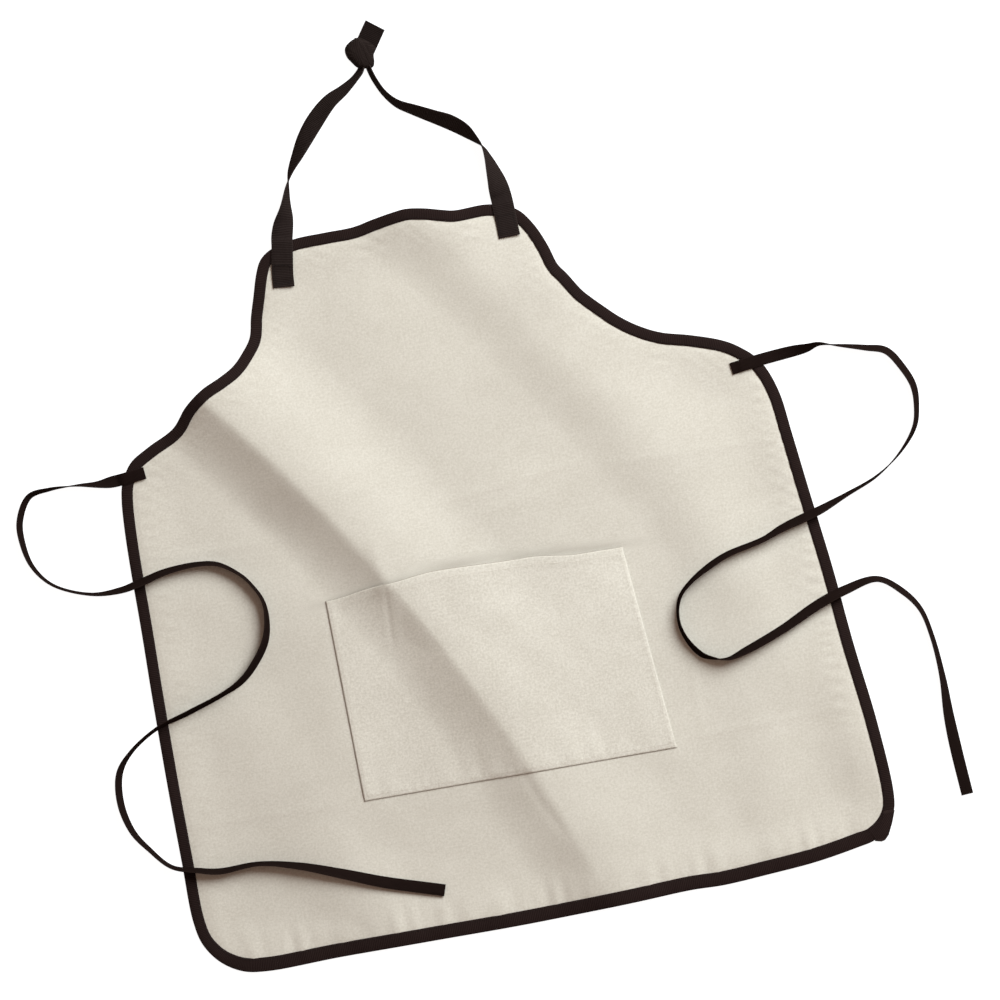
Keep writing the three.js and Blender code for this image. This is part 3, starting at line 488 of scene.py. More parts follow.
@dataclass(frozen=True)
class RibbedFinish:
    """A black-brown woven tape with ribs across its width, selvedges and dusty ribs' tops."""

    colour: Colour = (0.0115, 0.006, 0.0052)
    dust: Colour = (0.03, 0.0184, 0.0158)
    lint: Colour = (0.12, 0.1, 0.09)
    pitch: float = 1.8 * MM
    yarn: float = 0.62 * MM
    half_width: float = 10.75 * MM
    selvedge: float = 0.9 * MM
    relief: float = 0.22 * MM
    roughness: float = 0.82
    shine: float = 0.05

    def material(self, name: str) -> bpy.types.Material:
        """Builds the material.

        Args:
            name: The material's name.

        Returns:
            The material.
        """
        dress = Dress(name)
        place, along, across, _ = dress.lay()
        wander = dress.noise(place, 240.0, 2.0)
        ribs = (along * (2.0 * math.pi / self.pitch) + wander * 1.3).sine() * 0.5 + 0.5
        yarns = (across * (2.0 * math.pi / self.yarn) + wander * 2.0).sine() * 0.5 + 0.5
        fuzz = dress.noise(place, 900.0, 3.0, 0.7)
        worn = dress.noise(place, 38.0, 3.0, 0.6)
        edge = abs(across).soft(self.half_width - self.selvedge, self.half_width - 0.2 * MM)
        tone = ribs * 0.38 + fuzz * 0.5 + worn * 0.35 + edge * 0.25
        lint = dress.specks(place, 160.0, 0.35 * MM) * dress.noise(place, 57.0).soft(0.6, 0.66)
        colour = dress.blend(tone.soft(0.35, 1.25), self.colour, self.dust)
        colour = dress.blend(lint * 0.3, colour, self.lint)
        height = ribs * (1.0 - edge) + yarns * 0.25 + fuzz * 0.25 + edge * 0.8
        return dress.surface(
            {
                "Base Color": colour,
                "Roughness": (fuzz * 0.2 + (self.roughness - 0.1)).least(1.0),
                "Normal": dress.bump(height, self.relief),
                "Specular IOR Level": self.shine,
            }
        )


@dataclass(frozen=True)
class ThreadFinish:
    """Twisted sewing thread."""

    colour: Colour
    dark: Colour
    twist: float = 0.7 * MM
    relief: float = 0.05 * MM
    roughness: float = 0.75

    def material(self, name: str) -> bpy.types.Material:
        """Builds the material.

        Args:
            name: The material's name.

        Returns:
            The material.
        """
        dress = Dress(name)
        place, along, across, _ = dress.lay()
        twist = (along * (2.0 * math.pi / self.twist) + across * 9000.0).sine() * 0.5 + 0.5
        colour = dress.blend(twist * dress.noise(place, 700.0).soft(0.2, 0.8), self.dark, self.colour)
        return dress.surface(
            {
                "Base Color": colour,
                "Roughness": self.roughness,
                "Normal": dress.bump(twist, self.relief),
                "Specular IOR Level": 0.1,
            }
        )


@dataclass(frozen=True)
class FloorFinish:
    """A plain white studio floor, lit from below as a light table is."""

    colour: Colour = (0.3, 0.3, 0.3)
    glow: float = 0.95

    def material(self, name: str) -> bpy.types.Material:
        """Builds the material of that name.

        Args:
            name: The material's name.

        Returns:
            The material.
        """
        dress = Dress(name)
        place = dress.node("ShaderNodeTexCoord", {}, {})["Object"]
        grain = dress.noise(place, 40.0, 2.0)
        return dress.surface(
            {
                "Base Color": self.colour,
                "Roughness": grain * 0.05 + 0.7,
                "Emission Color": (1.0, 1.0, 1.0),
                "Emission Strength": self.glow,
            }
        )


# --------------------------------------------------------------------------- the cut and the lie


@dataclass(frozen=True)
class ApronCut:
    """The apron's cut edge, worked out from a few sizes and share tables."""

    hem_width: float = 0.712
    skirt_length: float = 0.518
    armhole_rise: float = 0.112
    bib_rise: float = 0.085
    bib_width: float = 0.290
    bib_shift: float = -0.024
    corner_left: float = 0.063
    corner_right: float = 0.046
    hem_rise_left: float = 0.0125
    hem_rise_right: float = 0.0174
    # Up as a share of the skirt, then the left and right sides as shares of half the hem
    sides: tuple[tuple[float, float, float], ...] = (
        (0.251, 0.998, 0.994),
        (0.405, 0.994, 0.974),
        (0.56, 0.987, 0.959),
        (0.714, 0.978, 0.938),
        (0.83, 0.973, 0.923),
        (0.907, 0.967, 0.912),
        (0.959, 0.959, 0.889),
        (0.988, 0.949, 0.862),
    )
    # Across as a share of half the hem, rise as a share of the skirt
    hem: tuple[tuple[float, float], ...] = (
        (-0.61, 0.0105),
        (-0.34, 0.0052),
        (-0.06, 0.0),
        (0.22, 0.0),
        (0.39, 0.0012),
        (0.48, -0.0021),
        (0.62, 0.0012),
        (0.75, 0.0062),
    )
    # Out from the bib's foot to the waist, up as a share of the armhole's rise
    armhole_left: tuple[tuple[float, float], ...] = (
        (0.958, 0.052),
        (0.906, 0.135),
        (0.78, 0.231),
        (0.601, 0.348),
        (0.496, 0.506),
        (0.367, 0.631),
        (0.237, 0.708),
        (0.14, 0.781),
        (0.063, 0.884),
        (0.0, 1.0),
    )
    armhole_right: tuple[tuple[float, float], ...] = (
        (0.957, 0.042),
        (0.904, 0.097),
        (0.827, 0.154),
        (0.67, 0.237),
        (0.494, 0.315),
        (0.37, 0.411),
        (0.265, 0.527),
        (0.185, 0.643),
        (0.123, 0.738),
        (0.074, 0.821),
        (0.0, 1.0),
    )
    foot: tuple[float, float] = (-1.099, 1.131)
    waist: tuple[float, float] = (-0.949, 0.848)
    # Across as a share of half the bib, up as a share of its rise
    bib_left: tuple[tuple[float, float], ...] = (
        (-1.062, 0.235),
        (-1.016, 0.471),
        (-0.97, 0.706),
        (-0.929, 0.851),
    )
    bib_top: tuple[tuple[float, float], ...] = (
        (-0.893, 0.915),
        (-0.833, 0.971),
        (-0.668, 1.035),
        (-0.441, 1.038),
        (-0.248, 1.035),
        (-0.11, 1.074),
        (0.028, 1.106),
        (0.131, 1.118),
        (0.255, 1.082),
        (0.372, 1.024),
        (0.455, 0.988),
        (0.676, 0.982),
        (0.8, 0.929),
        (0.873, 0.867),
        (0.917, 0.8),
    )
    bib_right: tuple[tuple[float, float], ...] = (
        (1.084, 0.122),
        (1.048, 0.341),
        (1.014, 0.507),
        (0.977, 0.644),
    )

    @property
    def half_hem(self) -> float:
        """Half the hem's width."""
        return self.hem_width / 2

    @property
    def bib_base(self) -> float:
        """Height of the bib's foot above the hem line."""
        return self.skirt_length + self.armhole_rise

    @property
    def length(self) -> float:
        """Length from the hem line to the bib's top."""
        return self.bib_base + self.bib_rise

    def corner(self, side: Side, degrees: float) -> tuple[float, float]:
        """A point on a rounded lower corner, at a direction from its middle.

        Args:
            side: Which corner.
            degrees: The direction, counter-clockwise from the right.

        Returns:
            Its place in plan.
        """
        left = side is Side.LEFT
        radius = self.corner_left if left else self.corner_right
        rise = self.hem_rise_left if left else self.hem_rise_right
        angle = math.radians(degrees)
        x = (-1 if left else 1) * (self.half_hem - radius) + radius * math.cos(angle)
        return x, rise * self.skirt_length + radius * (1 + math.sin(angle))

    def edge_points(self) -> Array:
        """Points of the cut edge, counter-clockwise from the lower left corner's middle.

        Returns:
            The points, one row each.
        """

        def bib(rows: Sequence[tuple[float, float]]) -> list[tuple[float, float]]:
            """The places of bib rows."""
            half = self.bib_width / 2
            return [(self.bib_shift + a * half, self.bib_base + u * self.bib_rise) for a, u in rows]

        def armhole(rows: Sequence[tuple[float, float]], side: int) -> list[tuple[float, float]]:
            """The places of armhole rows on one side.

            Args:
                rows: The table's rows.
                side: 0 for the left, 1 for the right.

            Returns:
                The places in plan.
            """
            foot = self.bib_shift + self.foot[side] * self.bib_width / 2
            waist = self.waist[side] * self.half_hem
            rise = self.armhole_rise
            return [(foot + (waist - foot) * o, self.skirt_length + u * rise) for o, u in rows]

        skirt = self.skirt_length
        points = [self.corner(Side.LEFT, a) for a in (225, 247.5, 270)]
        points += [(a * self.half_hem, r * skirt) for a, r in self.hem]
        points += [self.corner(Side.RIGHT, a) for a in (270, 292.5, 315, 337.5, 360)]
        points += [(right * self.half_hem, up * skirt) for up, _, right in self.sides]
        points += armhole(self.armhole_right, 1)
        points += bib(self.bib_right)
        points += bib(self.bib_top[::-1])
        points += bib(self.bib_left[::-1])
        points += armhole(self.armhole_left[::-1], 0)
        points += [(-left * self.half_hem, up * skirt) for up, left, _ in self.sides[::-1]]
        points += [self.corner(Side.LEFT, a) for a in (180, 202.5)]
        return np.array(points)


@dataclass(frozen=True)
class Fold:
    """A fold of the cloth: a crest over the plan, with a steep and a gentle flank.

    Places are shares of half the hem and of the apron's length, heights and reaches are metres.
    """

    start: tuple[float, float]
    bend: tuple[float, float]
    end: tuple[float, float]
    start_height: float
    end_height: float
    low_flank: float
    high_flank: float
    crispness: float = 0.0
    crest: float = 5 * MM
    samples: int = 31

    def height(self, cut: ApronCut, x: Array, y: Array) -> Array:
        """Height that the fold adds at plan places.

        Args:
            cut: The apron's cut, which the crest's shares refer to.
            x: Places across, from the hem's middle.
            y: Places up, from the hem line.

        Returns:
            The heights.
        """
        t = np.linspace(0.0, 1.0, self.samples)[:, None]
        size = np.array([cut.half_hem, cut.length])
        ends = [np.array(place) * size for place in (self.start, self.bend, self.end)]
        crest = (1 - t) ** 2 * ends[0] + 2 * t * (1 - t) * ends[1] + t**2 * ends[2]
        best = np.full(x.shape, np.inf)
        along = np.zeros(x.shape)
        aside = np.ones(x.shape)
        for k, (at, way) in enumerate(zip(crest, np.diff(crest, axis=0))):
            dx, dy = x - at[0], y - at[1]
            share = np.clip((dx * way[0] + dy * way[1]) / (way @ way), 0.0, 1.0)
            distance = np.hypot(dx - share * way[0], dy - share * way[1])
            nearer = distance < best
            best = np.where(nearer, distance, best)
            along = np.where(nearer, (k + share) / (len(crest) - 1), along)
            sine = (dy * way[0] - dx * way[1]) / np.maximum(distance * np.hypot(*way), 1e-12)
            aside = np.where(nearer, sine, aside)
        eased = np.hypot(best, self.crest) - self.crest
        across = np.clip(eased / self.low_flank, 0.0, 1.0)
        low = np.cos(across * math.pi / 2) ** 2
        low += ((1.0 - across) ** 1.7 - low) * self.crispness
        high = np.cos(np.clip(best / self.high_flank, 0.0, 1.0) * math.pi / 2) ** 2
        top = self.start_height + (self.end_height - self.start_height) * along
        return top * (low + (high - low) * np.clip((1.0 + aside) / 2, 0.0, 1.0))


@dataclass(frozen=True)
class Crease:
    """A pressed or pulled line in the cloth, from one place to another."""

    start: tuple[float, float]
    end: tuple[float, float]
    height: float
    reach: float

    def height_at(self, x: Array, y: Array) -> Array:
        """Height that the crease adds at plan places.

        Args:
            x: Places across, from the hem's middle.
            y: Places up, from the hem line.

        Returns:
            The heights.
        """
        a, b = np.array(self.start), np.array(self.end)
        way = b - a
        share = ((x - a[0]) * way[0] + (y - a[1]) * way[1]) / (way @ way)
        held = np.clip(share, 0.0, 1.0)
        distance = np.hypot(x - a[0] - held * way[0], y - a[1] - held * way[1])
        fade = smoothstep(0.0, 0.25, held) * (1 - smoothstep(0.7, 1.0, held))
        return self.height * fade * np.exp(-((distance / self.reach) ** 2))


@dataclass
class ClothLie:
    """How the cut cloth lies on the floor: folds, creases and a slight unevenness."""

    cut: ApronCut
    thickness: float = 1.2 * MM
    rim_lift: float = 1.3 * MM
    unevenness: float = 1.3 * MM
    gathering: float = 0.6 * MM
    edge_step: float = 0.8 * MM
    near_edge: float = 4 * MM
    rim_reach: tuple[float, float] = (12.6 * MM, 60 * MM)
    hem_zone: tuple[float, float] = (0.08, 0.16)
    gather_zone: tuple[float, float, float] = (9 * MM, 15 * MM, 52 * MM)
    wave_count: int = 16
    wave_lengths: tuple[float, float] = (0.05, 0.19)
    wave_seed: int = 41
    folds: tuple[Fold, ...] = (
        Fold((-0.68, 0.812), (-0.112, 0.46), (0.175, 0.0), 0.0186, 0.008, 0.055, 0.11, 0.9),
        Fold((0.004, 1.01), (0.64, 0.633), (1.065, -0.014), 0.0068, 0.0012, 0.058, 0.08, 0.3),
        Fold((-0.028, 0.476), (0.211, 0.343), (0.393, 0.203), 0.0024, 0.0009, 0.036, 0.06, 0.3),
        Fold((-0.93, 0.5), (-0.62, 0.3), (-0.47, 0.03), 0.0005, 0.003, 0.06, 0.05),
        Fold((0.62, 0.5), (0.72, 0.3), (0.66, 0.04), 0.001, 0.0022, 0.05, 0.06),
    )
    creases: tuple[Crease, ...] = (
        Crease((-0.335, 0.434), (-0.17, 0.424), 0.3 * MM, 3.4 * MM),
        Crease((-0.055, 0.428), (0.15, 0.446), 0.34 * MM, 3.2 * MM),
        Crease((-0.02, 0.41), (0.11, 0.423), 0.26 * MM, 3.0 * MM),
        Crease((-0.15, 0.455), (-0.03, 0.47), 0.26 * MM, 4.0 * MM),
        Crease((0.12, 0.436), (0.33, 0.4245), 0.3 * MM, 3.2 * MM),
        Crease((0.15, 0.15), (0.345, 0.15), 0.34 * MM, 3.0 * MM),
        Crease((-0.34, 0.163), (-0.17, 0.155), 0.3 * MM, 3.6 * MM),
        Crease((0.187, 0.26), (0.177, 0.12), 0.28 * MM, 3.2 * MM),
        Crease((-0.004, 0.154), (0.012, 0.105), -0.6 * MM, 3.4 * MM),
        Crease((0.008, 0.12), (0.03, 0.072), -0.5 * MM, 4.0 * MM),
        Crease((-0.104, 0.415), (-0.1, 0.335), 0.9 * MM, 9 * MM),
        Crease((-0.1, 0.368), (-0.106, 0.29), -0.5 * MM, 2.4 * MM),
        Crease((-0.17, 0.09), (-0.17, 0.4), 3.0 * MM, 45 * MM),
    )
    dips: tuple[Crease, ...] = (
        Crease((-0.078, 0.3715), (0.052, 0.3625), -0.9 * MM, 6 * MM),
        Crease((0.045, 0.361), (0.148, 0.3515), -0.7 * MM, 6 * MM),
    )

    def __post_init__(self) -> None:
        """Lays the edge out finely and prepares the look-up of depths."""
        line = spline(self.cut.edge_points(), closed=True, per_span=40)
        line = resample(np.vstack([line, line[:1]]), self.edge_step)[:-1]
        self.edge = line
        way = np.roll(line, -1, axis=0) - np.roll(line, 1, axis=0)
        way /= np.hypot(*way.T)[:, None]
        self.inward = np.column_stack([-way[:, 1], way[:, 0]])
        self.tree = KDTree(len(line))
        for k, (x, y) in enumerate(line):
            self.tree.insert((x, y, 0.0), k)
        self.tree.balance()
        waves = np.random.default_rng(self.wave_seed)
        lengths = waves.uniform(*self.wave_lengths, self.wave_count)
        turns = waves.uniform(0, 2 * math.pi, self.wave_count)
        pull = 2 * math.pi / lengths
        self.waves = np.column_stack([pull * np.cos(turns), pull * np.sin(turns), turns * 3.1, lengths])

    def depth(self, x: Array, y: Array) -> Array:
        """Distances inside the cut edge, negative outside.

        Args:
            x: Places across, from the hem's middle.
            y: Places up, from the hem line.

        Returns:
            The distances.
        """
        found = np.empty(x.shape)
        for place, (px, py) in enumerate(zip(x.flat, y.flat)):
            _, k, distance = self.tree.find((px, py, 0.0))
            ex, ey = self.edge[k]
            ahead = (px - ex) * self.inward[k, 0] + (py - ey) * self.inward[k, 1]
            found.flat[place] = ahead if distance < self.near_edge else math.copysign(distance, ahead)
        return found

    def rise(self, x: Array, y: Array) -> Array:
        """Height of the cloth's underside above the floor, away from the rim.

        Args:
            x: Places across, from the hem's middle.
            y: Places up, from the hem line.

        Returns:
            The heights.
        """
        total = sum(fold.height(self.cut, x, y) for fold in self.folds)
        total = total + sum(crease.height_at(x, y) for crease in self.creases)
        wave = sum(row[3] * np.sin(row[0] * x + row[1] * y + row[2]) for row in self.waves)
        wave = wave / self.waves[:, 3].sum()
        return total + self.unevenness * np.clip(wave * 3 + 0.5, 0, None)

    def dip(self, x: Array, y: Array) -> Array:
        """How far the cloth sinks behind the pocket's mouth, down to the floor at most.

        Args:
            x: Places across, from the hem's middle.
            y: Places up, from the hem line.

        Returns:
            The depths, as negative heights.
        """
        depth = sum(crease.height_at(x, y) for crease in self.dips)
        return np.maximum(depth, -self.rise(x, y))

    def middle(self, x: Array, y: Array, depth: Array) -> Array:
        """Height of the cloth's middle at places of a known depth.

        Args:
            x: Places across, from the hem's middle.
            y: Places up, from the hem line.
            depth: Distances inside the cut edge.

        Returns:
            The heights.
        """
        rim = self.rim_lift * (1 - smoothstep(*self.rim_reach, depth))
        pulls = np.sin(x * 235 + 2.6 * np.sin(x * 47)) * np.sin(x * 61 + 1.4)
        hem = 1 - smoothstep(*self.hem_zone, y)
        gathers = pulls * (1.1 * hem + (1 - hem) * np.sin(y * 483 + 2.1 * np.sin(y * 57) + x * 90))
        first, full, last = self.gather_zone
        fade = smoothstep(first, full, depth) * (1 - smoothstep(full, last, depth))
        return self.thickness / 2 + rim + self.rise(x, y) + self.gathering * fade * (gathers + 1)


# --------------------------------------------------------------------------- cloth pieces


def thick_sheet(shell: Shell, tops: Array, lows: Array, lays: Array, keep: Array) -> None:
    """Closes the kept cells of a grid into a sheet with an upper and a lower surface.

    Args:
        shell: What the sheet is added to.
        tops: Places of the upper surface, by row and column.
        lows: Places of the lower surface.
        lays: Places in the cloth.
        keep: Which cells are kept, one row and one column fewer.
    """
    rows, columns = tops.shape[:2]
    index = np.arange(rows * columns).reshape(rows, columns)
    used = np.zeros((rows, columns), bool)
    for dj, di in ((0, 0), (0, 1), (1, 0), (1, 1)):
        used[dj : dj + rows - 1, di : di + columns - 1] |= keep
    number = np.cumsum(used.ravel()) - 1
    count = int(used.sum())
    a, b = index[:-1, :-1][keep], index[:-1, 1:][keep]
    c, d = index[1:, 1:][keep], index[1:, :-1][keep]
    quads = np.column_stack([number[a], number[b], number[c], number[d]])
    faces = [tuple(q) for q in quads.tolist()]
    faces += [tuple(q) for q in (quads[:, ::-1] + count).tolist()]
    edges: dict[tuple[int, int], tuple[int, int]] = {}
    for quad in quads.tolist():
        for p, q in zip(quad, quad[1:] + quad[:1]):
            if (q, p) in edges:
                del edges[q, p]
            else:
                edges[p, q] = (p, q)
    faces += [(q, p, p + count, q + count) for p, q in edges.values()]
    mask = used.ravel()
    points = np.vstack([tops.reshape(-1, 3)[mask], lows.reshape(-1, 3)[mask]])
    shell.add(points, np.vstack([lays.reshape(-1, 3)[mask]] * 2), faces)


def placed(x: Array, y: Array, z: Array) -> Array:
    """Plan places and heights as places in the model's frame."""
    return np.stack([x + PLAN_SHIFT[0], y + PLAN_SHIFT[1], z], axis=-1)


@dataclass
class ApronPanel:
    """The canvas panel that everything is sewn to."""

    lie: ClothLie
    spacing: float = 3.3 * MM
    hidden_rim: float = 3.6 * MM
    # Painted shadow: soft dark lines on the canvas just above the pocket's mouth, where the pocket shades
    # the panel; the heights here are shade strengths.
    painted_shade: tuple[Crease, ...] = (
        Crease((-0.2, 0.352), (0.02, 0.3695), 0.17, 3.8 * MM),
        Crease((-0.09, 0.3715), (0.19, 0.3495), 0.19, 3.8 * MM),
    )

    def build(self, finish: bpy.types.Material) -> bpy.types.Object:
        """Builds the panel.

        Args:
            finish: The canvas.

        Returns:
            The piece.
        """
        low, high = self.lie.edge.min(axis=0), self.lie.edge.max(axis=0)
        xs = np.arange(low[0], high[0] + self.spacing, self.spacing)
        ys = np.arange(low[1], high[1] + self.spacing, self.spacing)
        x, y = np.meshgrid(xs, ys)
        depth = self.lie.depth(x, y)
        inside = depth > self.hidden_rim
        keep = inside[:-1, :-1] & inside[:-1, 1:] & inside[1:, 1:] & inside[1:, :-1]
        middle = self.lie.middle(x, y, depth) + self.lie.dip(x, y)
        half = self.lie.thickness / 2
        shell = Shell()
        # The painted shadow's strength goes into the lay's third value, which the canvas reads as painted
        # shade.
        painted_shade = sum(crease.height_at(x, y) for crease in self.painted_shade)
        lays = np.stack([x, y, painted_shade], axis=-1)
        thick_sheet(shell, placed(x, y, middle + half), placed(x, y, middle - half), lays, keep)
        piece = shell.piece("canvas_panel", finish)
        return settle(piece, "canvas", "body_panel")


@dataclass
class EdgeBinding:
    """Grosgrain tape folded over the cut edge, in the five lengths that meet under the trims."""

    lie: ClothLie
    width: float = 12.6 * MM
    thickness: float = 1.0 * MM
    step: float = 2.0 * MM
    puff: float = 0.25 * MM
    slim: float = 0.91
    hem_spread: float = 0.22
    clearance: float = 0.1 * MM
    floor_gap: float = 0.05 * MM
    lap_lift: float = 0.5 * MM
    # Across and up from the hem's middle, in millimetres
    lap: tuple[tuple[float, float], ...] = (
        (353.4, 38.0),
        (348.4, 26.0),
        (342.6, 15.0),
        (338.0, 10.6),
        (334.2, 10.0),
        (328.4, 11.6),
        (325.6, 17.0),
        (323.0, 23.2),
        (331.0, 26.0),
        (337.4, 29.0),
        (340.5, 34.0),
        (342.4, 40.0),
        (347.6, 40.4),
    )
    # Rise as a share of the lap's height, breadth as a share of its outline
    lap_rings: tuple[tuple[float, float], ...] = (
        (0.05, 0.96),
        (0.3, 1.0),
        (0.8, 1.0),
        (0.95, 0.97),
        (1.0, 0.9),
    )

    def nearest(self, x: float, y: float) -> int:
        """Index of the edge sample nearest to a plan place."""
        return self.lie.tree.find((x, y, 0.0))[1]

    def breadth(self, inward: Array) -> Array:
        """The tape's seen width as a share of its named width: broad on the hem, slim elsewhere.

        Args:
            inward: Unit directions into the cloth, one row for each place.

        Returns:
            The share at each place.
        """
        return self.slim + self.hem_spread * np.clip(inward[:, 1], 0, 1) ** 2

    def section(self) -> Array:
        """The folded section: depth inside the edge, height over the cloth, and place across the tape.

        Returns:
            The section's points, one row each.
        """
        clear = self.lie.thickness / 2 + self.clearance
        top = clear + self.thickness
        w, t = self.width, self.thickness
        return np.array(
            [
                (w, top - 0.3 * t, w),
                (w - 0.35 * t, top - 0.05 * t, w - 0.3 * t),
                (0.72 * w, top + self.puff * 0.7, 0.72 * w),
                (0.4 * w, top + self.puff, 0.4 * w),
                (0.14 * w, top, 0.14 * w),
                (0.35 * t, top - 0.45 * t, 0.05 * w),
                (0.0, 0.35 * clear, 0.0),
                (0.0, -0.35 * clear, 0.0),
                (0.35 * t, -top + 0.45 * t, -0.05 * w),
                (0.14 * w, -top, -0.14 * w),
                (w, -top, -w),
                (w, -clear, -w),
                (0.9 * t, -clear * 0.9, 0.0),
                (0.9 * t, clear * 0.9, 0.0),
                (w, clear, w),
            ]
        )

    def stretch(self, first: int, last: int) -> Shell:
        """One length of binding between two samples of the edge.

        Args:
            first: The sample it starts at.
            last: The sample it ends at, counter-clockwise from the first.

        Returns:
            Its mesh.
        """
        edge, inward = self.lie.edge, self.lie.inward
        count = (last - first) % len(edge)
        spacing = np.hypot(*(edge[1] - edge[0]))
        places = (first + np.linspace(0, count, max(2, int(count * spacing / self.step)))) % len(edge)
        low = places.astype(int) % len(edge)
        share = (places - low)[:, None]
        points = edge[low] * (1 - share) + edge[(low + 1) % len(edge)] * share
        normal = inward[low] * (1 - share) + inward[(low + 1) % len(edge)] * share
        normal /= np.hypot(*normal.T)[:, None]
        depth, rise, across = self.section().T
        depth = depth * self.breadth(normal)[:, None]
        x = points[:, :1] + normal[:, :1] * depth
        y = points[:, 1:] + normal[:, 1:] * depth
        z = np.maximum(self.lie.middle(x, y, np.zeros_like(x)) + rise, self.floor_gap)
        lays = np.stack([arc_lengths(points)[:, None] + 0 * x, across + 0 * x, 0 * x], axis=-1)
        shell = Shell()
        shell.loft(placed(x, y, z)[::-1], lays[::-1])
        return shell

    def add_lap(self, shell: Shell) -> None:
        """Adds the turned end of the tape, which laps over the lower right corner.

        Args:
            shell: What the lap is added to.
        """
        outline = np.array(self.lap) * MM
        middle = outline.mean(axis=0)
        x, y = outline.T
        seat = self.lie.middle(x, y, np.zeros_like(x)) + self.lie.thickness / 2
        top = seat + self.thickness + self.lap_lift
        rings, lays = [], []
        for rise, share in self.lap_rings:
            at = middle + (outline - middle) * share
            rings.append(placed(at[:, 0], at[:, 1], top * rise))
            lays.append(np.column_stack([at[:, 0] + 0.4 * at[:, 1], at[:, 1] - middle[1], 0 * x]))
        shell.loft(np.array(rings)[:, ::-1], np.array(lays)[:, ::-1])

    def build(self, finish: bpy.types.Material, marks: dict[str, tuple[float, float]]) -> None:
        """Builds the five lengths.

        Args:
            finish: The grosgrain.
            marks: Plan places near where the lengths meet.
        """
        at = {name: self.nearest(*place) for name, place in marks.items()}
        runs = {
            "side_binding_right": ("lap", "right_tie"),
            "armhole_binding_right": ("right_tie", "right_strap"),
            "bib_binding": ("right_strap", "left_strap"),
            "armhole_binding_left": ("left_strap", "left_tie"),
            "skirt_binding": ("left_tie", "lap"),
        }
        for node, (first, last) in runs.items():
            shell = self.stretch(at[first], at[last])
            if last == "lap":
                self.add_lap(shell)
            settle(shell.piece(f"bound_{node}", finish), "binding", node)


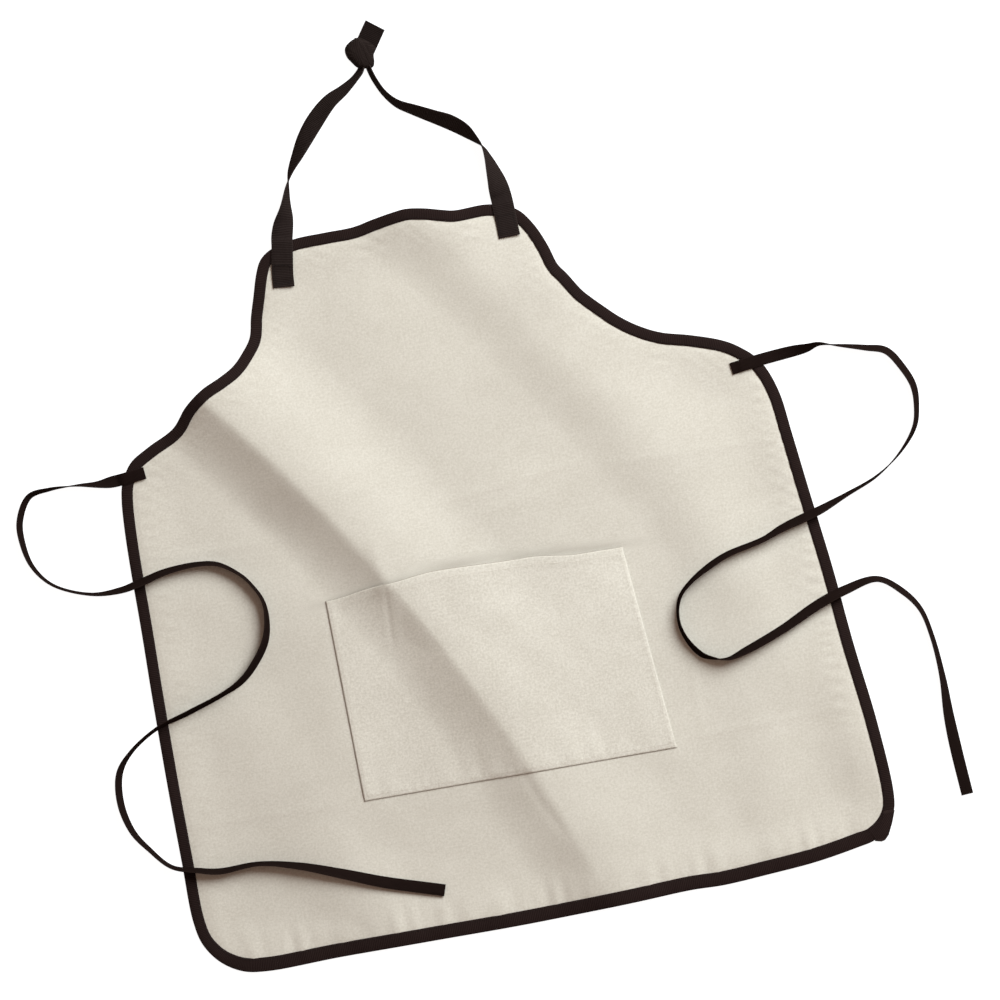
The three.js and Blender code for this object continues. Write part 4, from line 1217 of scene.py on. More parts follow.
@dataclass
class PatchPocket:
    """The patch pocket, which stands off towards its hemmed mouth."""

    lie: ClothLie
    width: float = 0.305
    depth: float = 0.205
    shift: float = -0.011
    rise: float = 0.150
    thickness: float = 1.0 * MM
    mouth_lift: float = 0.0062
    hem: float = 10 * MM
    seam: float = 6.5 * MM
    turned: float = 0.22 * MM
    gathering: float = 0.3 * MM
    seat_gap: float = 0.15 * MM
    pucker: float = 0.12 * MM
    pucker_reach: float = 4 * MM
    # The puckers' pitch, then the strength and the beat of its wandering
    foot_puckers: tuple[float, float, float] = (7.1 * MM, 3, 19)
    side_puckers: tuple[float, float, float] = (6.7 * MM, 2, 23)
    pull_reach: float = 30 * MM
    foot_fade: float = 9 * MM
    rim_round: float = 1.3 * MM
    rim_share: float = 0.15
    # How strong the painted shade along the rims is: foot, left, right and mouth
    painted_shade: tuple[float, float, float, float] = (0.6, 0.45, 0.3, 1.0)
    columns: int = 150
    rows: int = 104
    # Across and up as shares of the width and the depth: lower left and right, upper left and right
    corners: tuple[tuple[float, float], ...] = (
        (-0.502, 0.015),
        (0.538, -0.034),
        (-0.495, 1.01),
        (0.495, 0.98),
    )
    # Along the mouth, and its rise as a share of the depth
    bow: tuple[tuple[float, float], ...] = (
        (0.0, 0.0),
        (0.2, 0.03),
        (0.37, 0.05),
        (0.68, 0.034),
        (0.86, 0.004),
        (1.0, 0.0),
    )

    def corner(self, number: int) -> Array:
        """A corner in plan: lower left, lower right, upper left or upper right."""
        across, up = self.corners[number]
        return np.array([self.shift + across * self.width, self.rise + up * self.depth])

    def mouth_bow(self, along: Array) -> Array:
        """How far the mouth bows up at shares along it.

        Args:
            along: Shares along the mouth, from the left.

        Returns:
            The rises.
        """
        stops = np.array(self.bow)
        k = np.clip(np.searchsorted(stops[:, 0], along) - 1, 0, len(stops) - 2)
        share = (along - stops[k, 0]) / (stops[k + 1, 0] - stops[k, 0])
        eased = smoothstep(0.0, 1.0, share)
        return self.depth * (stops[k, 1] + (stops[k + 1, 1] - stops[k, 1]) * eased)

    def place(self, across: Array, up: Array) -> tuple[Array, Array]:
        """Plan places at shares across and up the pocket.

        Args:
            across: Shares across the pocket, from the left.
            up: Shares up it, from its foot.

        Returns:
            The places across and up.
        """
        a, b, c, d = (self.corner(k) for k in range(4))
        s, q = across[..., None], up[..., None]
        at = (a * (1 - s) + b * s) * (1 - q) + (c * (1 - s) + d * s) * q
        return at[..., 0], at[..., 1] + up**3 * self.mouth_bow(across)

    def puckers(self, share: Array, size: float, away: Array, wave: tuple[float, float, float]) -> Array:
        """Puckers of the cloth along one line of stitches.

        Args:
            share: Shares along the line.
            size: The line's length.
            away: Distances from the pocket's edge beside it.
            wave: The puckers' pitch, then the strength and the beat of its wandering.

        Returns:
            The heights that they add.
        """
        pitch, strength, beat = wave
        ripple = np.sin(share * size * 2 * math.pi / pitch + strength * np.sin(share * beat))
        return self.pucker * ripple * np.exp(-(((away - self.seam) / self.pucker_reach) ** 2))

    def top(self, across: Array, up: Array) -> tuple[Array, Array, Array, Array]:
        """Plan places, underside and upper heights at shares across and up the pocket.

        Args:
            across: Shares across the pocket, from the left.
            up: Shares up it, from its foot.

        Returns:
            The places across and up, then the heights of the underside and of the top.
        """
        x, y = self.place(across, up)
        deep = np.full(x.shape, 1.0)
        seat = self.lie.middle(x, y, deep) + self.lie.thickness / 2
        swell = np.sin(np.clip(across, 0, 1) ** 1.6 * math.pi) ** 0.6
        lift = self.mouth_lift * swell * np.clip(up, 0, 1) ** 0.8
        from_side = np.minimum(across, 1 - across) * self.width
        from_foot = up * self.depth
        from_mouth = (1 - up) * self.depth
        fold = np.maximum(
            1 - smoothstep(self.seam - 0.8 * MM, self.seam + 1.6 * MM, np.minimum(from_side, from_foot)),
            1 - smoothstep(self.hem - 0.8 * MM, self.hem + 1.2 * MM, from_mouth),
        )
        pucker = self.puckers(across, self.width, from_foot, self.foot_puckers)
        pucker = pucker + self.puckers(up, self.depth, from_side, self.side_puckers)
        sway = np.sin(across * 61 + 1.9 * np.sin(across * 17))
        pull = sway * np.exp(-((from_foot / self.pull_reach) ** 2))
        gathers = self.gathering * (pull + 1) * smoothstep(0, self.foot_fade, from_foot)
        low = seat + self.seat_gap + lift + gathers
        high = low + self.thickness + fold * self.turned + pucker
        return x, y, low, high

    def shares(self, count: int, rim: float) -> Array:
        """Even shares across the pocket, with close ones by both edges."""
        edge = np.array([0.0, 0.35, 1.0]) * rim
        return np.concatenate([edge, np.linspace(2 * rim, 1 - 2 * rim, count), 1 - edge[::-1]])

    def build(self, finish: bpy.types.Material) -> bpy.types.Object:
        """Builds the pocket.

        Args:
            finish: The canvas.

        Returns:
            The piece.
        """
        across, up = np.meshgrid(self.shares(self.columns, 0.006), self.shares(self.rows, 0.008))
        x, y, low, high = self.top(across, up)
        rim = np.minimum.reduce(
            [across * self.width, (1 - across) * self.width, up * self.depth, (1 - up) * self.depth]
        )
        round_off = np.sqrt(np.clip(1 - (1 - np.clip(rim / self.rim_round, 0, 1)) ** 2, 0, 1))
        high = low + (high - low) * (self.rim_share + (1 - self.rim_share) * round_off)
        # Painted shade along the pocket's rims, where its edges shade the panel, carried in the lay's
        # third value.
        rims = np.stack([up < 1e-9, across < 1e-9, across > 1 - 1e-9, up > 1 - 1e-9])
        painted_shade = (rims * np.array(self.painted_shade)[:, None, None]).max(axis=0)
        shell = Shell()
        lays = np.stack([x + 0.31, y + 0.17, painted_shade], axis=-1)
        keep = np.ones((across.shape[0] - 1, across.shape[1] - 1), bool)
        thick_sheet(shell, placed(x, y, high), placed(x, y, low), lays, keep)
        piece = shell.piece("patch_pocket", finish)
        self.width + 0.006
        return settle(piece, "canvas", "pocket")


# --------------------------------------------------------------------------- tapes and webbing


@dataclass
class Ground:
    """What a tape lies on: the floor, the panel and its binding."""

    lie: ClothLie
    binding: EdgeBinding
    slack: float = 0.35 * MM

    def height(self, x: Array, y: Array) -> Array:
        """Height of what lies uppermost at plan places.

        Args:
            x: Places across, from the hem's middle.
            y: Places up, from the hem line.

        Returns:
            The heights.
        """
        depth = self.lie.depth(x, y)
        cloth = self.lie.middle(x, y, depth) + self.lie.thickness / 2
        bound = (depth < self.binding.width) * (self.binding.thickness + self.slack)
        return np.where(depth > 0, cloth + bound, 0.0)


@dataclass
class WovenTape:
    """A flat woven tape laid along a route, rolled about its own line."""

    ground: Ground
    route: tuple[tuple[float, ...], ...]
    width: float
    thickness: float
    step: float = 2.4 * MM
    slope: float = 0.3
    sewn: float = 26 * MM
    sewn_slope: float = 1.1
    hold: float = 1.5 * MM
    fine_gap: float = 0.12 * MM
    floor_gap: float = 0.02 * MM
    least_spread: float = 0.12
    # Through the tape and across it, as shares of half its thickness and half its width
    outline: tuple[tuple[float, float], ...] = (
        (1.0, -0.9),
        (1.06, -0.45),
        (1.06, 0.45),
        (1.0, 0.9),
        (0.5, 1.0),
        (-0.5, 1.0),
        (-1.0, 0.9),
        (-1.06, 0.45),
        (-1.06, -0.45),
        (-1.0, -0.9),
        (-0.5, -1.0),
        (0.5, -1.0),
    )

    def stations(self) -> tuple[Array, Array, Array]:
        """Works out the tape's line.

        Returns:
            Its places in plan and height, its roll in radians, and half its width.
        """
        rows = np.array([row if len(row) == 4 else (*row, 1.0) for row in self.route])
        line = resample(spline(rows, per_span=30), self.step)
        lengths = arc_lengths(line)
        way = np.gradient(line[:, :2], axis=0)
        way /= np.hypot(*way.T)[:, None]
        side = np.column_stack([-way[:, 1], way[:, 0]])
        roll = np.radians(line[:, 2])
        half = self.width / 2 * line[:, 3]
        reach = np.linspace(-1, 1, 7)
        spread = half[:, None] * np.maximum(np.abs(np.cos(roll)), self.least_spread)[:, None] * reach
        x = line[:, :1] + side[:, :1] * spread
        y = line[:, 1:2] + side[:, 1:] * spread
        need = self.ground.height(x, y).max(axis=1)
        need = np.where(need > 0, need + self.fine_gap, 0.0)
        away = np.abs(lengths[:, None] - lengths[None, :])
        loose = (need[None, :] - self.slope * np.clip(away - self.hold, 0, None)).max(axis=1)
        close = (need[None, :] - self.sewn_slope * away).max(axis=1)
        free = smoothstep(self.sewn * 0.8, self.sewn * 1.4, lengths)
        support = np.clip(close * (1 - free) + loose * free, 0, None)
        kernel = np.hanning(9)
        eased = np.convolve(np.pad(support, 4, mode="edge"), kernel / kernel.sum(), mode="valid")
        support = np.maximum(support, eased)
        rise = half * np.abs(np.sin(roll)) + self.thickness / 2 * np.abs(np.cos(roll))
        return np.column_stack([line[:, :2], support + rise]), roll, half

    def sections(self) -> tuple[Array, Array, Array]:
        """Works out the tape's skin.

        Returns:
            Its sections, their places in the tape, and its centre line in the model's frame.
        """
        points, roll, half = self.stations()
        way = np.gradient(points, axis=0)
        way /= np.linalg.norm(way, axis=1)[:, None]
        up = np.array([0.0, 0.0, 1.0]) - way * way[:, 2:]
        up /= np.linalg.norm(up, axis=1)[:, None]
        side = np.cross(way, up)
        through = up * np.cos(roll)[:, None] + side * np.sin(roll)[:, None]
        across = np.cross(way, through)
        corners = np.array(self.outline)
        centre = placed(points[:, 0], points[:, 1], points[:, 2])
        thick = corners[:, 0] * self.thickness / 2
        wide = corners[:, 1] * half[:, None]
        skin = centre[:, None] + through[:, None] * thick[:, None] + across[:, None] * wide[..., None]
        skin[..., 2] = np.maximum(skin[..., 2], self.floor_gap)
        along = np.concatenate([[0.0], np.cumsum(np.linalg.norm(np.diff(points, axis=0), axis=1))])
        flat = corners[:, 1] * self.width / 2
        lays = np.stack(
            [
                np.broadcast_to(along[:, None], skin.shape[:2]),
                np.broadcast_to(flat, skin.shape[:2]),
                np.broadcast_to(corners[:, 0], skin.shape[:2]),
            ],
            axis=-1,
        )
        return skin, lays, centre

    def shell(self) -> tuple[Shell, Array]:
        """The tape's mesh and its centre line.

        Returns:
            The mesh and the line.
        """
        skin, lays, centre = self.sections()
        made = Shell()
        made.loft(skin[:, ::-1], lays[:, ::-1])
        return made, centre


# Across and up from the hem's middle in metres, and roll in degrees
LEFT_TIE = (
    (-0.313, 0.519, 0),
    (-0.340, 0.517, 0),
    (-0.360, 0.517, 54),
    (-0.379, 0.520, 80),
    (-0.392, 0.5213, 91),
    (-0.410, 0.522, 104),
    (-0.431, 0.519, 115),
    (-0.445, 0.497, 118),
    (-0.447, 0.476, 115),
    (-0.442, 0.450, 106),
    (-0.426, 0.428, 99),
    (-0.390, 0.411, 102),
    (-0.360, 0.409, 121),
    (-0.336, 0.413, 129),
    (-0.313, 0.418, 121),
    (-0.280, 0.419, 112),
    (-0.260, 0.415, 107),
    (-0.240, 0.400, 100),
    (-0.231, 0.388, 99),
    (-0.223, 0.370, 102),
    (-0.223, 0.350, 112),
    (-0.229, 0.330, 122),
    (-0.243, 0.311, 124),
    (-0.260, 0.296, 120),
    (-0.280, 0.287, 110),
    (-0.320, 0.275, 112),
    (-0.353, 0.266, 104),
    (-0.383, 0.248, 106),
    (-0.398, 0.230, 120),
    (-0.403, 0.200, 122),
    (-0.397, 0.170, 116),
    (-0.384, 0.149, 108),
    (-0.366, 0.128, 105),
    (-0.340, 0.119, 112),
    (-0.320, 0.114, 117),
    (-0.280, 0.1135, 108),
    (-0.240, 0.103, 123),
    (-0.200, 0.087, 142),
    (-0.160, 0.070, 160),
    (-0.103, 0.050, 172),
)
RIGHT_TIE = (
    (0.282, 0.503, 0),
    (0.310, 0.506, 0),
    (0.343, 0.508, 20),
    (0.360, 0.5085, 47),
    (0.372, 0.510, 74),
    (0.390, 0.505, 98),
    (0.417, 0.497, 118),
    (0.437, 0.490, 127),
    (0.450, 0.470, 127),
    (0.457, 0.450, 124),
    (0.456, 0.430, 117),
    (0.450, 0.410, 112),
    (0.430, 0.387, 99),
    (0.403, 0.369, 84),
    (0.370, 0.357, 72),
    (0.340, 0.347, 48),
    (0.320, 0.342, 46),
    (0.300, 0.337, 54),
    (0.280, 0.330, 66),
    (0.240, 0.322, 63),
    (0.220, 0.314, 62),
    (0.200, 0.303, 73),
    (0.186, 0.290, 78),
    (0.180, 0.270, 81),
    (0.183, 0.250, 75),
    (0.195, 0.230, 66),
    (0.205, 0.224, 78),
    (0.220, 0.220, 100),
    (0.240, 0.2245, 124),
    (0.280, 0.238, 133),
    (0.320, 0.255, 143),
    (0.350, 0.264, 138),
    (0.383, 0.268, 118),
    (0.405, 0.251, 120),
    (0.419, 0.230, 114),
    (0.425, 0.200, 113),
    (0.427, 0.160, 122),
    (0.4255, 0.120, 150),
    (0.426, 0.085, 175),
    (0.428, 0.039, 180),
)


@dataclass
class WaistTie:
    """A waist tie: 12 mm tape, sewn at the waist and lying loose."""

    side: Side
    ground: Ground
    width: float = 12 * MM
    thickness: float = 1.2 * MM
    exit_after: float = 24 * MM

    def build(self, finish: bpy.types.Material) -> bpy.types.Object:
        """Args:
            finish: The tape.

        Returns:
            The piece.
        """
        route = LEFT_TIE if self.side is Side.LEFT else RIGHT_TIE
        tape = WovenTape(self.ground, route, self.width, self.thickness)
        shell, centre = tape.shell()
        piece = shell.piece(f"tie_{self.side.value}", finish)
        return settle(piece, "tie_tape", f"waist_tie_{self.side.value}")


# Across as a share of half the bib, up as a share of the straps' reach, roll, and share of the width
LEFT_STRAP = (
    (-0.797, 0.167, 0, 1),
    (-0.786, 0.222, 0, 1),
    (-0.752, 0.323, 0, 1),
    (-0.741, 0.358, 6, 1),
    (-0.71, 0.412, 28, 1),
    (-0.676, 0.467, 60, 1),
    (-0.634, 0.545, 84, 1),
    (-0.593, 0.599, 104, 1),
    (-0.517, 0.661, 124, 1),
    (-0.441, 0.72, 140, 1),
    (-0.352, 0.778, 147, 0.98),
    (-0.234, 0.837, 138, 0.94),
    (-0.124, 0.87, 127, 0.86),
    (-0.03, 0.9055, 118, 0.72),
    (0.022, 0.934, 120, 0.6),
    (0.042, 0.965, 114, 0.5),
)
RIGHT_STRAP = (
    (0.797, 0.183, 0, 1),
    (0.797, 0.284, 0, 1),
    (0.796, 0.327, 0, 1),
    (0.79, 0.381, 20, 1),
    (0.779, 0.432, 44, 1),
    (0.759, 0.506, 72, 1),
    (0.741, 0.545, 86, 1),
    (0.697, 0.584, 106, 1),
    (0.641, 0.623, 124, 1),
    (0.552, 0.665, 131, 1),
    (0.448, 0.7, 125, 0.98),
    (0.331, 0.739, 119, 0.94),
    (0.221, 0.778, 112, 0.86),
    (0.152, 0.825, 107, 0.76),
    (0.11, 0.875, 107, 0.7),
    (0.086, 0.918, 110, 0.6),
    (0.072, 0.961, 112, 0.5),
)


# The knot's lobes and the band round them: across and up from its place, in millimetres
KNOT_LEFT = (
    (-13.9, 5.5),
    (-11.8, 9.7),
    (-5.0, 14.2),
    (1.5, 15.2),
    (6.2, 9.0),
    (8.6, 0.0),
    (9.8, -9.0),
    (7.2, -15.8),
    (2.7, -16.2),
    (-2.0, -15.4),
    (-5.8, -12.9),
    (-9.7, -7.4),
    (-13.1, -1.5),
)
KNOT_RIGHT = (
    (2.0, 14.6),
    (10.0, 10.0),
    (16.2, 3.8),
    (17.4, 1.0),
    (14.7, -2.6),
    (13.6, -7.0),
    (13.2, -12.0),
    (11.2, -16.4),
    (8.0, -17.2),
    (3.8, -15.4),
    (3.0, -6.0),
    (0.6, 6.0),
)
KNOT_BAND = (
    (-1.5, 15.0),
    (4.4, 13.4),
    (10.6, -1.0),
    (12.6, -12.0),
    (9.2, -16.0),
    (6.0, -12.0),
    (2.4, 2.0),
)
# Rise as a share of a lobe's height, breadth as a share of its outline
KNOT_LEVELS = (
    (0.0, 0.5),
    (0.02, 0.82),
    (0.12, 0.94),
    (0.32, 1.0),
    (0.5, 1.0),
    (0.68, 0.95),
    (0.84, 0.82),
    (0.94, 0.62),
    (0.985, 0.36),
    (1.0, 0.12),
)


@dataclass
class NeckWebbing:
    """The two neck straps and the knot that joins them."""

    ground: Ground
    cut: ApronCut
    width: float = 21.5 * MM
    thickness: float = 1.5 * MM
    reach: float = 0.257
    knot_across: float = 0.0345
    knot_height: float = 14 * MM

    def tape(self, side: Side) -> WovenTape:
        """One strap's tape along its route.

        Args:
            side: Which strap.

        Returns:
            The tape.
        """
        rows = LEFT_STRAP if side is Side.LEFT else RIGHT_STRAP
        half = self.cut.bib_width / 2
        route = tuple(
            (self.cut.bib_shift + a * half, self.cut.bib_base + u * self.reach, roll, share)
            for a, u, roll, share in rows
        )
        return WovenTape(self.ground, route, self.width, self.thickness, step=2.0 * MM, sewn=46 * MM)

    def strap(self, side: Side, finish: bpy.types.Material) -> bpy.types.Object:
        """Builds one strap.

        Args:
            side: Which strap.
            finish: The webbing.

        Returns:
            The piece.
        """
        piece = self.tape(side).shell()[0].piece(f"strap_{side.value}", finish)
        return settle(piece, "webbing", f"neck_strap_{side.value}")

    def pillow(self, shell: Shell, outline: Array, height: float, crown: float, ribs: float) -> None:
        """Adds a rounded lobe over a plan outline.

        Args:
            shell: What the lobe is added to.
            outline: The lobe's outline in plan, from the hem's middle.
            height: Its height.
            crown: How far its top leans from the outline's middle, as a share.
            ribs: The direction that its ribs run round, in degrees.
        """
        loop = spline(outline, closed=True, per_span=8)
        middle = loop.mean(axis=0)
        angle = math.radians(ribs)
        rings, lays = [], []
        for rise, share in np.array(KNOT_LEVELS):
            at = middle + (loop - middle) * share
            at = at + np.array([math.cos(angle), math.sin(angle)]) * crown * rise * 4 * MM
            swell = 0.35 * MM * np.sin((loop @ np.array([math.sin(angle), math.cos(angle)])) * 1300)
            z = np.full(len(at), rise * height) + swell * share * rise
            rings.append(placed(at[:, 0], at[:, 1], np.clip(z, 0.02 * MM, None)))
            along = at @ np.array([math.cos(angle), math.sin(angle)]) + rise * height * 0.6
            across = at @ np.array([-math.sin(angle), math.cos(angle)])
            lays.append(np.column_stack([along, across * 0.4, np.full(len(at), rise)]))
        shell.loft(np.array(rings), np.array(lays))

    def tail(self, shell: Shell, start: Array, end: Array, base: float, drop: float, skew: float) -> None:
        """Adds one layer of the doubled tail.

        Args:
            shell: What the layer is added to.
            start: Its buried end in plan.
            end: Its cut end in plan.
            base: Height of its underside at the cut end.
            drop: How much higher it starts.
            skew: How far its cut is out of square, in metres.
        """
        share = np.linspace(0, 1, 14)
        line = start + (end - start) * share[:, None]
        way = (end - start) / np.linalg.norm(end - start)
        side = np.array([-way[1], way[0]])
        across = np.linspace(-1, 1, 9) * self.width / 2
        cut_line = (share**6)[:, None] * skew * across / (self.width / 2)
        x = line[:, :1] + side[0] * across + way[0] * cut_line
        y = line[:, 1:] + side[1] * across + way[1] * cut_line
        curl = 0.5 * MM * (across / (self.width / 2)) ** 2
        z = base + drop * (1 - share[:, None]) ** 1.5 + curl * 0.6 + 0 * x
        lays = np.stack([share[:, None] * 0.03 + 0 * x, across + 0 * x, 0 * x], axis=-1)
        keep = np.ones((x.shape[0] - 1, x.shape[1] - 1), bool)
        high = placed(x, y, z + self.thickness)
        low = placed(x, y, z)
        flipped = slice(None, None, -1)
        thick_sheet(shell, high[:, flipped], low[:, flipped], lays[:, flipped], keep)

    def knot(self, finish: bpy.types.Material) -> bpy.types.Object:
        """Builds the knot with its doubled tail.

        Args:
            finish: The webbing.

        Returns:
            The piece.
        """
        across = self.cut.bib_shift + self.knot_across * self.cut.bib_width / 2
        place = np.array([across, self.cut.bib_base + self.reach])
        shell = Shell()
        self.pillow(shell, place + np.array(KNOT_LEFT) * MM, self.knot_height, -0.4, 152.0)
        self.pillow(shell, place + np.array(KNOT_RIGHT) * MM, self.knot_height * 0.86, 0.2, 60.0)
        self.pillow(shell, place + np.array(KNOT_BAND) * MM, self.knot_height * 0.97, 0.1, 105.0)
        start = place + np.array([4.0, 0.0]) * MM
        self.tail(shell, start, place + np.array([21.5, 24.3]) * MM, 1.7 * MM, 4.5 * MM, 0.6 * MM)
        self.tail(shell, start, place + np.array([20.9, 23.6]) * MM, 0.1 * MM, 4.2 * MM, -0.5 * MM)
        return settle(shell.piece("knot", finish), "webbing", "neck_knot")


# --------------------------------------------------------------------------- stitching


@dataclass
class Stitching:
    """Rows of single stitches laid over a surface."""

    pitch: float = 3.4 * MM
    length: float = 2.5 * MM
    thickness: float = 0.46 * MM
    bury: float = 0.12 * MM
    sides: int = 5
    box: tuple[int, int] = (2, 11)
    inset: float = 1.9 * MM
    on_binding: float = 0.28 * MM
    on_strap: float = 0.08 * MM
    pocket_side: float = 4.3 * MM
    pocket_foot: float = 5.0 * MM
    pocket_hem: float = 7.4 * MM
    # Along a stitch, its girth and its lift, as shares of its length, thickness and bury
    profile: tuple[tuple[float, float, float], ...] = (
        (0.0, 0.35, -1.0),
        (0.18, 0.95, 0.1),
        (0.5, 1.0, 0.5),
        (0.82, 0.95, 0.1),
        (1.0, 0.35, -1.0),
    )

    def row(self, shell: Shell, line: Array) -> None:
        """Adds a row of stitches along a line of places in the model's frame.

        Args:
            shell: What the stitches are added to.
            line: The line, one row a place.
        """
        steps = np.linalg.norm(np.diff(line, axis=0), axis=1)
        lengths = np.concatenate([[0.0], np.cumsum(steps)])
        shares = np.array(self.profile)
        turns = np.linspace(0, 2 * math.pi, self.sides, endpoint=False)
        for begin in np.arange(0.0, lengths[-1] - self.length, self.pitch):
            places = begin + shares[:, 0] * self.length
            at = np.column_stack([np.interp(places, lengths, column) for column in line.T])
            way = at[-1] - at[0]
            way /= np.linalg.norm(way)
            side = np.cross(way, (0.0, 0.0, 1.0))
            side /= np.linalg.norm(side)
            up = np.cross(side, way)
            radius = shares[:, 1:2] * self.thickness / 2
            lift = shares[:, 2] * self.bury + self.thickness * 0.12
            centre = at + up * lift[:, None]
            rings = centre[:, None, :] + radius[..., None] * (
                np.cos(turns)[None, :, None] * side + np.sin(turns)[None, :, None] * up
            )
            lays = np.stack(
                [
                    np.broadcast_to(places[:, None], rings.shape[:2]),
                    np.broadcast_to(turns * 0.0002, rings.shape[:2]),
                    np.zeros(rings.shape[:2]),
                ],
                axis=-1,
            )
            shell.loft(rings, lays)

    def pocket_rows(self, pocket: PatchPocket) -> Shell:
        """The pocket's stitches: down each side, along its foot and below its mouth.

        Args:
            pocket: The pocket.

        Returns:
            Their mesh.
        """
        shell = Shell()
        side = self.pocket_side / pocket.width
        foot = self.pocket_foot / pocket.depth
        hem = 1 - self.pocket_hem / pocket.depth
        fine = np.linspace(0, 1, 200)
        runs = (
            (side + 0 * fine, foot + (0.985 - foot) * fine),
            (1 - side + 0 * fine, foot + (0.985 - foot) * fine),
            (side + (1 - 2 * side) * fine, foot + 0 * fine),
            (side * 0.4 + (1 - 0.8 * side) * fine, hem + 0 * fine),
        )
        for across, up in runs:
            x, y, _, high = pocket.top(across, up)
            self.row(shell, placed(x, y, high))
        return shell

    def strap_boxes(self, neck: NeckWebbing) -> Shell:
        """The boxes of stitches that hold the straps' sewn ends.

        Args:
            neck: The straps.

        Returns:
            Their mesh.
        """
        shell = Shell()
        for side in Side:
            skin = neck.tape(side).sections()[0]
            sewn = skin[self.box[0] : self.box[1] + 1]
            left = sewn[:, 0] * 0.9 + sewn[:, 3] * 0.1
            right = sewn[:, 0] * 0.1 + sewn[:, 3] * 0.9
            for line in (left, right, np.stack([left[0], right[0]]), np.stack([left[-1], right[-1]])):
                self.row(shell, line + np.array([0.0, 0.0, self.on_strap]))
        return shell

    def binding_rows(self, binding: EdgeBinding) -> Shell:
        """The stitches that hold the binding, close to its inner edge.

        Args:
            binding: The binding.

        Returns:
            Their mesh.
        """
        lie = binding.lie
        depth = binding.width * binding.breadth(lie.inward)[:, None] - self.inset
        at = lie.edge + lie.inward * depth
        at = np.vstack([at, at[:1]])
        at = resample(at, 2.0 * MM)
        x, y = at[:, 0], at[:, 1]
        seat = lie.middle(x, y, np.zeros_like(x)) + lie.thickness / 2
        z = seat + binding.thickness + self.on_binding
        shell = Shell()
        self.row(shell, placed(x, y, z))
        return shell


# --------------------------------------------------------------------------- studio


@dataclass(frozen=True)
class Studio:
    """The camera above the floor, the floor and the lights."""

    aim: tuple[float, float] = (0.0292, -0.0372)
    turn: float = -11.6
    height: float = 9.0
    frame: float = 1.0
    key_energy: float = 268.0
    key_colour: Colour = (1.0, 1.09, 1.14)
    key_place: tuple[float, float, float] = (2.4, 1.8, 2.55)
    key_size: float = 3.0
    fill: float = 0.32
    fill_colour: Colour = (1.0, 0.72, 0.61)
    sensor: float = 36.0
    far: float = 20.0
    floor_reach: float = 6.0
    floor_depth: float = 0.05
    floor_gap: float = 0.3 * MM
    floor_sides: int = 96

    def camera(self) -> None:
        """Sets the camera straight above the apron, turned as the photograph is."""
        data = bpy.data.cameras.new("camera")
        data.sensor_width = self.sensor
        data.lens = data.sensor_width * self.height / self.frame
        data.clip_end = self.far
        camera = bpy.data.objects.new("camera", data)
        camera.location = (*self.aim, self.height)
        camera.rotation_euler = (0.0, 0.0, math.radians(self.turn))
        bpy.context.scene.collection.objects.link(camera)
        bpy.context.scene.camera = camera

    def lights(self) -> None:
        """Sets a soft key light beyond the bib and an even fill."""
        data = bpy.data.lights.new("key", "AREA")
        data.energy = self.key_energy
        data.color = self.key_colour
        data.shape = "DISK"
        data.size = self.key_size
        key = bpy.data.objects.new("key", data)
        key.location = self.key_place
        key.rotation_euler = (-Vector(self.key_place)).to_track_quat("-Z", "Y").to_euler()
        bpy.context.scene.collection.objects.link(key)
        world = bpy.data.worlds.new("studio")
        world.use_nodes = True
        background = world.node_tree.nodes["Background"]
        background.inputs["Color"].default_value = (*self.fill_colour, 1.0)
        background.inputs["Strength"].default_value = self.fill
        bpy.context.scene.world = world
        bpy.context.scene.view_settings.view_transform = "Standard"

    def floor(self) -> None:
        """Lays the floor, a broad shallow disc."""
        shell = Shell()
        turns = np.linspace(0, 2 * math.pi, self.floor_sides, endpoint=False)
        ring = np.column_stack([np.cos(turns), np.sin(turns), np.zeros(self.floor_sides)])
        heights = (-self.floor_depth, -self.floor_gap)
        levels = np.array([ring * self.floor_reach + (0, 0, height) for height in heights])
        shell.loft(levels, levels)
        floor = shell.piece("floor", FloorFinish().material("studio_floor"))


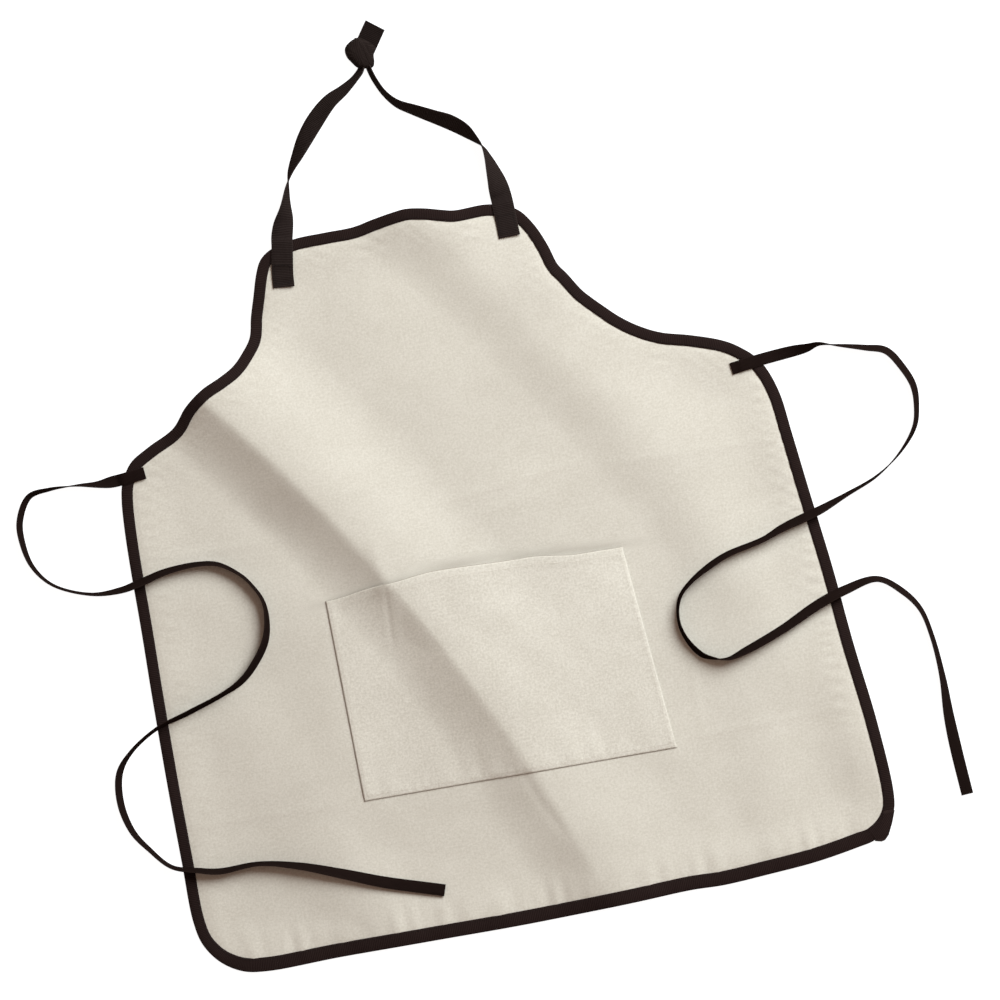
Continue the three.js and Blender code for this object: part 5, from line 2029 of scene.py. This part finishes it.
def main() -> None:
    """Builds the apron piece by piece and writes how large it came out."""
    logging.basicConfig(level=logging.INFO, format="%(name)s: %(message)s", stream=sys.stdout)
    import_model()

    studio = Studio()
    studio.camera()
    studio.lights()
    studio.floor()

    cut = ApronCut()
    lie = ClothLie(cut)
    binding = EdgeBinding(lie)
    pocket = PatchPocket(lie)
    ground = Ground(lie, binding)

    narrow = RibbedFinish(
        colour=(0.0077, 0.0043, 0.0036),
        dust=(0.0186, 0.0118, 0.0099),
        pitch=1.1 * MM,
        half_width=6 * MM,
        relief=0.12 * MM,
        shine=0.0,
    )
    tape = narrow.material("tie_tape")
    for side in Side:
        WaistTie(side, ground).build(tape)

    canvas = CanvasFinish().material("canvas")
    ApronPanel(lie).build(canvas)
    # The pocket's canvas is a lighter copy of the panel's canvas: painted light on the pocket.
    pocket.build(CanvasFinish(light=(0.624, 0.587, 0.509)).material("pocket_canvas"))

    grosgrain = RibbedFinish(half_width=12.6 * MM).material("grosgrain")
    # Plan places from the hem's middle, in metres
    marks = {
        "lap": (0.3425, 0.0225),
        "right_tie": (0.307, 0.506),
        "left_tie": (-0.340, 0.517),
        "right_strap": (0.0914, 0.714),
        "left_strap": (-0.133, 0.713),
    }
    binding.build(grosgrain, marks)

    webbing = RibbedFinish(
        colour=(0.0125, 0.0083, 0.0074), dust=(0.0355, 0.0265, 0.0234), pitch=1.7 * MM, shine=0.0
    ).material("webbing")
    # The knot's webbing is a darker copy of the straps' webbing: painted shade that tones down the light
    # on the knot's rounded lobes.
    knot_shaded_webbing = RibbedFinish(
        colour=(0.0071, 0.0044, 0.0038), dust=(0.0191, 0.0131, 0.0112), pitch=1.7 * MM, shine=0.02
    ).material("knot_webbing_painted_shade")
    neck = NeckWebbing(ground, cut)
    for side in Side:
        neck.strap(side, webbing)
    neck.knot(knot_shaded_webbing)

    cream = ThreadFinish((0.78, 0.74, 0.66), (0.5, 0.45, 0.38)).material("cream_thread")
    black = ThreadFinish((0.03, 0.022, 0.02), (0.008, 0.006, 0.006)).material("black_thread")
    stitching = Stitching()
    settle(stitching.pocket_rows(pocket).piece("pocket_stitches", cream), "canvas")
    dark = Stitching(pitch=3.0 * MM, length=2.3 * MM, thickness=0.42 * MM)
    settle(dark.binding_rows(binding).piece("binding_stitches", black), "binding")
    settle(dark.strap_boxes(neck).piece("strap_stitches", black), "webbing")


if __name__ == "__main__":
    main()
